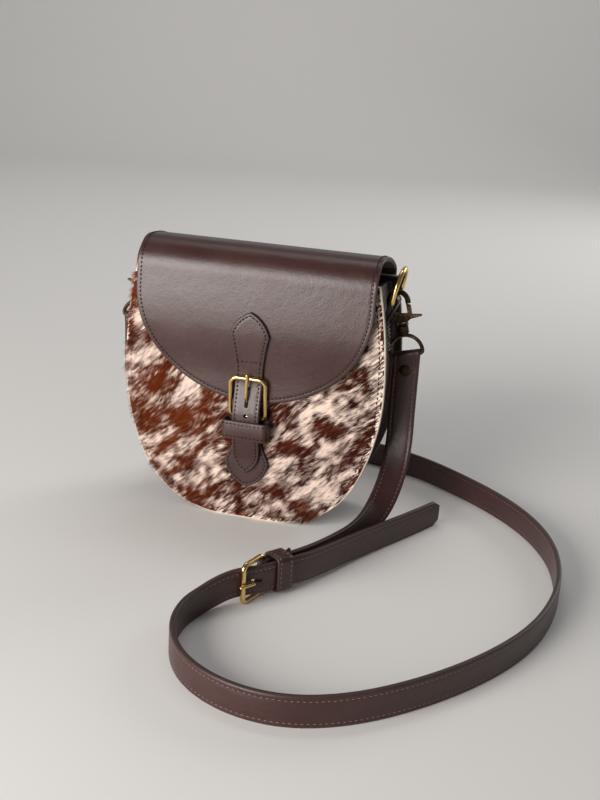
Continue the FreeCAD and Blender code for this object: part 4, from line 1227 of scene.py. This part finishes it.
class HANDBAG_OT_closure(bpy.types.Operator):
    """The closing strap, the chape that holds its buckle, and the keeper"""

    bl_idname = "handbag.closure"
    bl_label = "Closure"

    teardrop_at: millimetres("Teardrop Height", "Height of its widest point", 147.0)
    neck: millimetres("Neck Height", "Height at which the teardrop starts", 120.0)
    cross_at: millimetres("Cross Stitch Height", "Height of the stitches across the strap", 127.0)
    strap_half: millimetres("Half Width", "Half the strap's width", 10.5)
    strap_margin: millimetres("Strap Stitch Margin", "From the strap's edge to its stitches", 2.4)
    hole_radius: millimetres("Hole Radius", "Radius of the punched holes", 1.5)
    hole_pitch: millimetres("Hole Pitch", "From one hole to the next", 10.0)
    slot_half: millimetres("Slot", "How far the prong's hole is drawn out each way", 2.5)
    chape_half: millimetres("Chape Half Width", "Half the chape's width at the buckle", 10.0)
    chape_margin: millimetres("Chape Stitch Margin", "From the chape's edge to its stitches", 2.2)
    spade_at: millimetres("Spade Height", "Height of the chape's widest point", 48.0)
    chape_neck: millimetres("Chape Neck", "Height at which the chape gets straight", 64.0)
    prong_half: millimetres("Prong Slot", "Half the width of the chape's slot", 2.1)
    keeper_wall: millimetres("Keeper Wall", "Thickness of the keeper's leather", 1.8)
    keeper_round: millimetres("Keeper Corner", "Radius of the keeper's corners", 3.6)

    def execute(self, context):
        groove_depth = context.scene.handbag_sizes.groove_depth / MM
        self.sew_closing(groove_depth)
        self.sew_chape(groove_depth)
        self.sew_keeper()
        return {"FINISHED"}

    def closing_side(self):
        """Right half of the strap's outline: rounded tail, straight run, teardrop and its point."""
        low, tip, half, wide = CLOSING_LOW[2], CLOSING_HIGH[2], self.strap_half, CLOSING_HIGH[0]
        step, hollow = 1.2, 0.6
        tail_top = low + 1.5 * half
        tail = arc_through((0, low), (0.62 * half, low + 0.5 * half), (half, tail_top), step)
        run = line_points((half, tail_top), (half, self.neck), 2 * step)
        middle = ((half + wide) / 2 - hollow, (self.neck + self.teardrop_at) / 2)
        drop = arc_through((half, self.neck), middle, (wide, self.teardrop_at), step)
        shoulder = (0.66 * wide, self.teardrop_at + 0.6 * (tip - self.teardrop_at))
        return joined(tail, run, drop, arc_through((wide, self.teardrop_at), shoulder, (0, tip), step))

    def sew_closing(self, groove_depth):
        """The closing strap with its punched holes, sewn to the flap."""
        prong_reach, outside, inside = 12.4, -4, 7
        nearly_level = -1e-6

        def place(x, z, depth):
            return np.stack([x, FRONT_Y - closing_skin(z) - flap_bulge(z - FLAP_BASE) + depth, z], 1)

        side = self.closing_side()
        strap = leather_sheet("closing_leather", side, place, CLOSING_THICK, leathers(), columns=12,
                              groove=self.strap_margin, groove_depth=groove_depth)
        angles = np.radians(np.arange(0, 360, 20))
        ring = np.stack([np.cos(angles), np.sin(angles)], 1) * self.hole_radius
        slot = ring + np.where(ring[:, 1:] >= nearly_level, self.slot_half, -self.slot_half) * (0, 1)
        prong_hole = HEEL_Z + prong_reach
        holes = [ring + (0, prong_hole + count * self.hole_pitch) for count in (-2, -1, 1)]
        holes.append(slot + (0, prong_hole))
        punches = [prism(hole, outside, inside, place, leathers()) for hole in holes]
        dress(punched(strap, punches), "flap", "leather", "closing_strap")

        line = inset_line(side, self.strap_margin)
        around = np.concatenate([line, line[::-1] * (-1, 1)])
        reach = np.interp(self.cross_at, line[:, 1], line[:, 0])
        across = line_points((-reach, self.cross_at), (reach, self.cross_at), 1)
        bag_stitches("closing_stitches", "flap", [on_skin(place, row) for row in (around, across)])

    def sew_chape(self, groove_depth):
        """The chape, thick where it is folded round the buckle's heel bar and slotted for the prong."""
        low, top, wide = CHAPE_LOW[2], CHAPE_HIGH[2], CHAPE_HIGH[0]
        half, neck, spade_at = self.chape_half, self.chape_neck, self.spade_at
        step, run_step, top_gap = 1.2, 0.8, 0.05
        loop_start, slot_start = HEEL_Z - 1.2, HEEL_Z - 3.6
        loop_start_out = HEEL_OUT + HEEL_LOOP - 0.2
        foot_back, heel_back = 0.05, 1.35
        least, slot_depth, spare, stitch_gap = 0.01, 12.0, 2.0, 1.0

        def swell(z):
            return np.sqrt(np.maximum(HEEL_LOOP ** 2 - (z - HEEL_Z) ** 2, least))

        def front(z):
            rise = np.interp(z, (neck, loop_start), (SPADE_OUT, loop_start_out))
            return np.where(z > loop_start, HEEL_OUT + swell(z), rise)

        def back(z):
            rise = np.interp(z, (HEEL_Z - HEEL_LOOP, HEEL_Z), (foot_back, heel_back))
            return np.where(z > HEEL_Z, HEEL_OUT - swell(z), rise)

        def place(x, z, depth):
            return np.stack([x, FRONT_Y - front(z) + depth, z], 1)

        def place_flat(x, z, depth):
            return np.stack([x, FRONT_Y + depth, z], 1)

        end = arc_through((0, low), (0.65 * wide, low + 0.32 * (spade_at - low)), (wide, spade_at), step)
        shoulder = arc_through((wide, spade_at), (0.86 * wide, (2 * spade_at + neck) / 3), (half, neck), step)
        side = joined(end, shoulder, line_points((half, neck), (half, top - top_gap), run_step))
        chape = leather_sheet("chape_leather", side, place, lambda z: front(z) - back(z), leathers(),
                              columns=16, flat_high=True, groove=self.chape_margin, groove_depth=groove_depth)
        prong_slot = window(self.prong_half, slot_start, top + spare)
        punch = prism(prong_slot, -slot_depth, spare, place_flat, leathers())
        dress(punched(chape, [punch]), "bag", "leather", "buckle_chape")
        line = inset_below_flat(side, self.chape_margin)
        around = both_sides(line[line[:, 1] < KEEPER_LOW[2] - stitch_gap])
        bag_stitches("chape_stitches", "bag", [on_skin(place, around)])

    def sew_keeper(self):
        """The keeper's closed band."""
        def place(x, y, z):
            return np.stack([x, y, z], 1)

        loop = rounded_loop(KEEPER_LOW[:2], KEEPER_HIGH[:2], self.keeper_round)
        heights = (KEEPER_LOW[2], KEEPER_HIGH[2])
        band = closed_band("keeper_leather", loop, heights, self.keeper_wall, place, leathers())
        dress(band, "bag", "leather", "closure_keeper")
        bag_stitches("keeper_stitches", "bag", band_rows(loop, heights, place))


class HANDBAG_OT_ring_tabs(bpy.types.Operator):
    """The leather tabs that hold the D-rings"""

    bl_idname = "handbag.ring_tabs"
    bl_label = "Ring Tabs"

    leaf: millimetres("Leaf", "Thickness of one leaf", 1.7)
    inset: millimetres("Inset", "From the bag's edge to the tab's inner leaf", 6.8)
    loop_radius: millimetres("Loop Radius", "Outside of the loop", 3.65)
    bend: millimetres("Bend Height", "Where the tab leaves the gusset", 160.0)
    margin: millimetres("Stitch Margin", "From the tab's edges to its stitches", 3.0)
    sewn_long: millimetres("Sewn Length", "Length of the stitched box", 18.0)

    def execute(self, context):
        middle_y = (TAB_LOW[1] + TAB_HIGH[1]) / 2
        half = (TAB_HIGH[1] - TAB_LOW[1]) / 2
        centre = np.array([97.0, 177.0])
        loop_step, step, soften = 0.4, 0.8, 1.5
        heights = np.linspace(TAB_LOW[2], self.bend, 12)

        def leaf_line(inset):
            side = HALF - SIDE_RADIUS + np.sqrt((SIDE_RADIUS - inset) ** 2 - (heights - WIDEST) ** 2)
            return np.stack([side, heights], 1)

        inner = leaf_line(self.inset)
        outer = leaf_line(self.inset - 2 * self.leaf)[::-1]
        lean = math.degrees(math.atan2(centre[0] - (inner[-1, 0] + self.leaf), centre[1] - self.bend))
        loop = arc_points(centre, self.loop_radius, 180 - lean, -lean, loop_step)
        rise, fall = line_points(inner[-1], loop[0], 1), line_points(loop[-1], outer[0], 1)
        profile = Profile(joined(inner, rise, loop, fall, outer), step=0.3, soften=soften)

        def place(x, along, depth):
            first, second = profile.at(along, depth)
            return np.stack([first, middle_y - x, second], 1)

        side = line_points((half, 0), (half, profile.length), step)
        right = half - self.margin
        near = profile.length - self.margin
        far = near - self.sewn_long
        lines = [line_points((x, near), (x, far), 1) for x in (-right, right)]
        lines += [line_points((-right, along), (right, along), 1) for along in (near, far)]
        rows = [on_skin(place, line) for line in lines]
        for name, flip in (("right", RIGHT), ("left", LEFT)):
            tab = leather_sheet("tab_leather_" + name, side, place, self.leaf, leathers(), columns=8,
                                flat_low=True, flat_high=True, mirror=flip is LEFT)
            dress(tab, "bag", "leather", "ring_tab_" + name)
            bag_stitches("tab_stitches_" + name, "bag", [row * flip for row in rows])
        return {"FINISHED"}


# The shoulder strap: its two lengths meet at the strap buckle, which stands on its side on the floor.

RIGHT, LEFT = np.array([1, 1, 1]), np.array([-1, 1, 1])
STRAP_HALF = 10.0
STRAP_LEAF_HALF = 1.8
STRAP_EDGE = 9.3
STITCH_ACROSS = 7.0
HALF_FACE = np.array([(0, 1.86), (4, 1.84), (6.3, 1.8), (STITCH_ACROSS, 1.6), (7.7, 1.8), (8.5, 1.8),
                      (STRAP_EDGE, 1.68), (9.8, 1.35), (STRAP_HALF, 0.85)])
STRAP_FACE = both_sides(HALF_FACE)
STRAP_SECTION = np.concatenate([STRAP_FACE, -STRAP_FACE])
STRAP_SLOTS = [EDGE if min(abs(a), abs(b)) >= STRAP_EDGE else FACE
               for a, b in zip(STRAP_SECTION[:, 0], np.roll(STRAP_SECTION[:, 0], -1))]
EYE_BAR = np.array([107.499, 11.75, 134.889])
EYE_SLOPE = math.tan(math.radians(14))
STRAP_END_LONG = 25.0
STRAP_TOP = EYE_BAR - (0, 0, STRAP_END_LONG)
BUCKLE_AT = np.array([47.8, -137.8, 15.1])
BUCKLE_ALONG = np.array([0.6, 0.8, 0.0])
BUCKLE_FACE = np.array([0.8, -0.6, 0.0])
UP = np.array([0.0, 0.0, 1.0])
KEEPER_WALL = 1.8
KEEPER_ROUND = 3.6


def by_buckle(along, out, drop=0.0):
    return BUCKLE_AT + BUCKLE_ALONG * along + BUCKLE_FACE * out - UP * drop


# The strap's routes: points that its centre line is drawn to, each with the way of its edge there.

HANGING, TWISTING, TURNED, ON_EDGE = (1, 0, 0), (0.8, 0, -0.6), (0.4, 0, -0.9), (0, 0, -1)
STRAP_PLUMB = STRAP_TOP - UP * 21
SHORT_ROUTE = [
    (STRAP_TOP, HANGING), (STRAP_PLUMB, HANGING), ((108.4, 8.5, 66), HANGING), ((107.2, 0, 44), TWISTING),
    ((103.6, -14, 27), TWISTING), ((98.4, -32, 17), TURNED), ((90.4, -54, 13), ON_EDGE),
    ((80.8, -78, 12.6), ON_EDGE), ((71.6, -100, 13.4), ON_EDGE), (by_buckle(23, -0.2, 0.4), ON_EDGE),
    (by_buckle(3.6, 0), ON_EDGE),
]
LEFT_FALL = [
    (STRAP_TOP * LEFT, HANGING), (STRAP_PLUMB * LEFT, HANGING), ((-105, 17.5, 68), HANGING),
    ((-100.5, 28, 46), TWISTING), ((-93.5, 44.5, 28), TWISTING), ((-85, 66, 15), TURNED),
]
FLOOR_LOOP = [
    (-74, 88), (-56, 109), (-30, 123), (8, 130), (48, 128), (84, 119), (118, 104), (152, 80), (186, 51),
    (213, 18), (231, -20), (239, -62), (238, -104), (228, -148), (207, -190), (176, -231), (140, -264),
    (104, -280), (68, -277), (37, -259), (18, -230), (14, -200), (20, -178),
]
BUCKLE_RUN = [
    by_buckle(-34, 1.8, 1.2), by_buckle(-22, 2.3), by_buckle(-5, 6.9), by_buckle(14, 6.8),
    by_buckle(33, 7.3, 0.6), (83.4, -94, 13.2), (96.6, -65, 12), (111.8, -36, 11), (127, -8, 10.4),
    (141, 20, 10),
]
LONG_ROUTE = [(point, np.array(side) * LEFT) for point, side in LEFT_FALL]
LONG_ROUTE += [((x, y, STRAP_HALF), ON_EDGE) for x, y in FLOOR_LOOP]
LONG_ROUTE += [(point, ON_EDGE) for point in BUCKLE_RUN]


def nurbs_line(points):
    """The smooth line of a cord through its route's control points, in millimetres."""
    curve = bpy.data.curves.new("route", "CURVE")
    curve.dimensions = "3D"
    curve.resolution_u = 10
    spline = curve.splines.new("NURBS")
    spline.points.add(len(points) - 1)
    for knot, point in zip(spline.points, points):
        knot.co = (*(np.asarray(point, float) * MM), 1)
    spline.order_u = 3
    spline.use_endpoint_u = True
    holder = placed("route", curve)
    graph = bpy.context.evaluated_depsgraph_get()
    mesh = bpy.data.meshes.new_from_object(holder.evaluated_get(graph))
    line = np.array([v.co for v in mesh.vertices]) / MM
    bpy.data.meshes.remove(mesh)
    bpy.data.curves.remove(curve)
    return line


class Ribbon:
    """A strap's centre line with the way across it and the way out of its face at each point."""

    def __init__(self, centre, across):
        self.centre = centre
        way = unit(np.gradient(centre, axis=0))
        self.across = unit(across - way * (across * way).sum(1)[:, None])
        self.out = np.cross(way, self.across)

    @classmethod
    def along(cls, route):
        centre = nurbs_line([point for point, side in route])
        rail = nurbs_line([np.asarray(point) + np.asarray(side) * STRAP_HALF for point, side in route])
        return cls(centre, rail - centre)

    @classmethod
    def on_edge(cls, centre):
        return cls(centre, np.tile(-UP, (len(centre), 1)))

    def rows(self, half_width=1.0, half_thick=1.0):
        wide = np.broadcast_to(half_width, len(self.centre))[:, None, None]
        thick = np.broadcast_to(half_thick, len(self.centre))[:, None, None]
        return (self.centre[:, None] + self.across[:, None] * STRAP_SECTION[None, :, :1] * wide
                + self.out[:, None] * STRAP_SECTION[None, :, 1:] * thick)

    def stitch_lines(self, keep=slice(None)):
        lie = 1.72
        return [(self.centre + self.across * side + self.out * face)[keep]
                for side in (-STITCH_ACROSS, STITCH_ACROSS) for face in (-lie, lie)]


class HANDBAG_OT_strap_ends(bpy.types.Operator):
    """The strap's ends, folded through the swivel eyes"""

    bl_idname = "handbag.strap_ends"
    bl_label = "Strap Ends"

    fold_radius: millimetres("Fold Radius", "Outside of the fold", 3.45)
    pinch: millimetres("Pinch", "Where the leaves meet below the bar", 7.5)

    def execute(self, context):
        radius, pinch = self.fold_radius, self.pinch
        closed_half, stitch_lie = STRAP_LEAF_HALF + 0.06, 1.78
        roll = radius * np.sin(np.radians([84, 70, 55, 40, 25, 10, 0]))
        rises = np.concatenate([roll, np.linspace(-1, -pinch, 6),
                                np.linspace(-pinch - 1.5, 1 - STRAP_END_LONG, 9), [-STRAP_END_LONG]])
        round_half = np.sqrt(np.maximum(radius ** 2 - rises ** 2, 0))
        thick = np.where(rises >= 0, round_half, np.interp(-rises, (0, pinch), (radius, closed_half)))
        slope = np.interp(-rises, (0, pinch), (EYE_SLOPE, 0))
        run = np.linspace(-pinch - 1, 0.5 - STRAP_END_LONG, 12)
        for name, flip in (("right", RIGHT), ("left", LEFT)):
            rows = []
            for rise, half, lean in zip(rises, thick, slope):
                x, y = (STRAP_SECTION * (1, half / STRAP_LEAF_HALF)).T
                rows.append((EYE_BAR + np.stack([x, y, rise + lean * x], 1)) * flip)
            fold = swept("strap_fold_" + name, rows, leathers("strap_leather"), STRAP_SLOTS)
            dress(fold, "eye_" + name, "leather", "strap_end_" + name)
            lines = [(EYE_BAR + np.stack([np.full(len(run), x), np.full(len(run), y), run], 1)) * flip
                     for x in (-STITCH_ACROSS, STITCH_ACROSS) for y in (-stitch_lie, stitch_lie)]
            dress(strap_stitches("fold_stitches_" + name, lines), "eye_" + name, "leather")
        return {"FINISHED"}


def hang(piece, side, *nodes):
    """A length of the strap, fixed where it lies, in the place of the solids it stands for."""
    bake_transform(piece)
    return fill(piece, "leather", *nodes)


class HANDBAG_OT_shoulder_strap(bpy.types.Operator):
    """The long and short lengths of the shoulder strap, and the keeper by its buckle"""

    bl_idname = "handbag.shoulder_strap"
    bl_label = "Shoulder Strap"

    roll_radius: millimetres("Roll Radius", "Fold round the heel bar", 3.85)
    fold_long: millimetres("Fold Length", "Length of the folded leaf", 27.0)
    tail_round: millimetres("Tail Round", "Length of the rounded tail", 7.0)
    slot_half: millimetres("Slot", "Half the width of the slot in the fold", 2.1)
    hole_half: millimetres("Hole", "Half the width of the prong's hole", 1.5)
    hole_start: millimetres("Hole Start", "From the heel bar to the prong's hole", 5.35)
    hole_long: millimetres("Hole Length", "Length of the prong's hole", 8.0)

    def execute(self, context):
        self.make_long()
        self.make_short()
        return {"FINISHED"}

    def punch(self, half, low, high, near, far):
        """A punch through the strap at its buckle."""
        def place(x, along, out):
            return BUCKLE_AT + x[:, None] * UP - along[:, None] * BUCKLE_ALONG + out[:, None] * BUCKLE_FACE

        return prism(window(half, low, high), near, far, place, leathers("strap_leather"))

    def make_long(self):
        ribbon = Ribbon.along(LONG_ROUTE)
        run = distances(ribbon.centre)
        length = run[-1]
        left = np.clip((length - run) / self.tail_round, 0, 1)
        tip, near, far = 0.62, 1.0, 12.0
        width = tip + (1 - tip) * np.sqrt(1 - (1 - left) ** 2)
        strap = swept("strap_long", ribbon.rows(width), leathers("strap_leather"), STRAP_SLOTS)
        hole_end = self.hole_start + self.hole_long
        strap = punched(strap, [self.punch(self.hole_half, self.hole_start, hole_end, near, far)])
        hang(strap, "left", "shoulder_strap_long")
        thread = strap_stitches("strap_long_stitches", ribbon.stitch_lines(run < length - self.tail_round))
        hang(thread, "left")

    def fold(self, ribbon, run):
        """The short length, rolled round the heel bar, and the leaf that is folded back under it."""
        radius, leaf_half = self.roll_radius, 0.95
        bar_start, start_half, least = 3.6, 2.4, 0.1
        taper_long, taper_thick = 9, 1.3
        peel_start, peel_long, peel_out, peel_up = 20, 7, 1.6, 1.2
        leaf_gap, slot_gap, slot_depth = 0.1, 0.3, 8.0
        at_bar = np.array([2.4, 1.2, 0.0, -1.2, -2.2, -3.0, -3.5, -3.8])
        roll = Ribbon.on_edge(np.array([by_buckle(along, 0) for along in at_bar]))
        swell = np.where(at_bar > 0, np.interp(at_bar, (0, bar_start), (radius, start_half)),
                         np.sqrt(np.maximum(radius ** 2 - at_bar ** 2, least)))
        taper = np.interp(run[-1] - run, (0, taper_long), (taper_thick, 1.0))
        rows = np.concatenate([ribbon.rows(1.0, taper), roll.rows(1.0, swell / STRAP_LEAF_HALF)])
        stations = np.linspace(1.0, self.fold_long, 14)
        peel = np.clip((stations - peel_start) / peel_long, 0, 1) ** 2
        below = STRAP_LEAF_HALF + leaf_half + leaf_gap
        under = np.array([by_buckle(along, -below - peel_out * share, -peel_up * share)
                          for along, share in zip(stations, peel)])
        leaf_rows = Ribbon.on_edge(under).rows(1.0, leaf_half / STRAP_LEAF_HALF)
        deep = radius + slot_gap
        lengths = []
        for name, shape in (("strap_short_run", rows), ("strap_leaf", leaf_rows)):
            length = swept(name, shape, leathers("strap_leather"), STRAP_SLOTS)
            slot = self.punch(self.slot_half, -deep, deep, -slot_depth, slot_depth)
            lengths.append(punched(length, [slot]))
        whole = merged("strap_short", *lengths)
        whole.data.set_sharp_from_angle(angle=HARD_FOLD_EDGE)
        return whole

    def make_short(self):
        ribbon = Ribbon.along(SHORT_ROUTE)
        run = distances(ribbon.centre)
        strap = hang(self.fold(ribbon, run), "right", "shoulder_strap_short")
        thread = hang(strap_stitches("strap_short_stitches", ribbon.stitch_lines()), "right")
        keeper, keeper_thread = self.make_keeper()

    def make_keeper(self):
        def place(x, y, height):
            return BUCKLE_AT + x[:, None] * UP - y[:, None] * BUCKLE_FACE - height[:, None] * BUCKLE_ALONG

        room_low, room_high = np.array([-10.9, -9.3]), np.array([10.9, 4.3])
        loop = rounded_loop(room_low - KEEPER_WALL, room_high + KEEPER_WALL, KEEPER_ROUND)
        heights = (-18.2, -5.2)
        keeper = closed_band("strap_keeper_leather", loop, heights, KEEPER_WALL, place,
                             leathers("strap_leather"))
        dress(keeper, "bag", "leather", "strap_keeper")
        thread = strap_stitches("strap_keeper_stitches", band_rows(loop, heights, place))
        return keeper, dress(thread, "bag", "leather")


class HANDBAG_OT_hardware(bpy.types.Operator):
    """Brass and steel on the metal pieces"""

    bl_idname = "handbag.hardware"
    bl_label = "Hardware"

    def execute(self, context):
        finishes = {
            "brass": ("closure_buckle", "closure_prong", "d_ring", "strap_buckle", "strap_prong"),
            "old_brass": ("strap_post", "hook", "swivel_eye", "trigger_pin"),
            "steel": ("trigger_spring",),
        }
        for name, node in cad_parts.items():
            for finish, starts in finishes.items():
                if name.startswith(starts):
                    for place in node.material_slots:
                        place.link = "OBJECT"
                        place.material = material(finish)
        return {"FINISHED"}


class HANDBAG_OT_stage(bpy.types.Operator):
    """Floor, soft light and a camera at the photographed angle"""

    bl_idname = "handbag.stage"
    bl_label = "Stage"

    def execute(self, context):
        scene = context.scene
        bag = (0.05, 0, 0.1)
        self.backdrop()
        self.lamp("key", (-0.62, -1.28, 0.42), bag, size=1.05, power=30.0, tone=(1, 0.97, 0.94))
        self.lamp("back", (-0.2, 0.8, 2.2), (-0.7, 2.9, 0.3), size=1.6, power=18.0)
        self.lamp("behind", (1.1, 1.5, 0.8), bag, size=1.0, power=9.0)
        world = bpy.data.worlds.new("studio")
        world.use_nodes = True
        background = world.node_tree.nodes["Background"]
        background.inputs["Color"].default_value = (0.95, 0.96, 1.0, 1)
        background.inputs["Strength"].default_value = 0.13
        scene.world = world
        scene.view_settings.view_transform = "Standard"
        scene.camera = self.camera()
        return {"FINISHED"}

    def backdrop(self):
        """A floor that sweeps up behind the bag, square to the camera."""
        near, far, bend, high, half = -9.0, 2.0, 1.2, 3.0, 9.0
        step = 0.1
        turn_x, turn_y = 0.969, 0.248
        line = [(near, 0.0), (0.0, 0.0)]
        line += arc_points((far, bend), bend, -90, 0, step).tolist()
        line.append((far + bend, high))
        verts = np.array([(across * turn_x - back * turn_y, across * turn_y + back * turn_x, z)
                          for back, z in line for across in (-half, half)])
        faces = [(2 * i, 2 * i + 1, 2 * i + 3, 2 * i + 2) for i in range(len(line) - 1)]
        new_piece("floor", verts / MM, faces, [material("floor")])

    def lamp(self, name, place, target, size, power, tone=(1, 1, 1)):
        """A round soft lamp turned to a target."""
        light = bpy.data.lights.new(name, "AREA")
        light.shape = "DISK"
        light.size = size
        light.energy = power
        light.color = tone
        turn = (Vector(target) - Vector(place)).to_track_quat("-Z", "Y")
        placed(name, light).matrix_world = Matrix.Translation(place) @ turn.to_matrix().to_4x4()

    def camera(self):
        """A camera at the photographed place."""
        lens = bpy.data.cameras.new("camera")
        lens.sensor_width = 36.0
        lens.lens = 51.36
        right, up, ahead = (0.9619, 0.267, 0.0588), (-0.1394, 0.2937, 0.9457), (-0.2352, 0.9179, -0.3197)
        place = (0.2350, -0.7958, 0.3688)
        holder = placed("camera", lens)
        rows = [(right[k], up[k], -ahead[k], place[k]) for k in range(3)]
        holder.matrix_world = Matrix(rows + [(0, 0, 0, 1)])
        return holder


STEPS = (HANDBAG_OT_stage, HANDBAG_OT_shoulder_strap, HANDBAG_OT_strap_ends, HANDBAG_OT_panels,
         HANDBAG_OT_gusset, HANDBAG_OT_flap, HANDBAG_OT_closure, HANDBAG_OT_ring_tabs, HANDBAG_OT_hardware)


class HANDBAG_PT_panel(bpy.types.Panel):
    """Sizes, colours and steps of the handbag"""

    bl_label = "Saddle Handbag"
    bl_idname = "HANDBAG_PT_panel"
    bl_space_type = "VIEW_3D"
    bl_region_type = "UI"
    bl_category = "Handbag"

    def draw(self, context):
        layout = self.layout
        for group in (context.scene.handbag_sizes, context.scene.handbag_colours):
            for name in group.__annotations__:
                layout.prop(group, name)
        for step in STEPS:
            layout.operator(step.bl_idname)


CLASSES = (HandbagSizes, HandbagColours) + STEPS + (HANDBAG_PT_panel,)


def register():
    for item in CLASSES:
        bpy.utils.register_class(item)
    bpy.types.Scene.handbag_sizes = PointerProperty(type=HandbagSizes)
    bpy.types.Scene.handbag_colours = PointerProperty(type=HandbagColours)


def unregister():
    del bpy.types.Scene.handbag_sizes
    del bpy.types.Scene.handbag_colours
    for item in reversed(CLASSES):
        bpy.utils.unregister_class(item)


def main():
    register()
    for step in STEPS:
        group, name = step.bl_idname.split(".")
        getattr(getattr(bpy.ops, group), name)()
    bpy.context.view_layer.update()


if __name__ == "__main__":
    main()
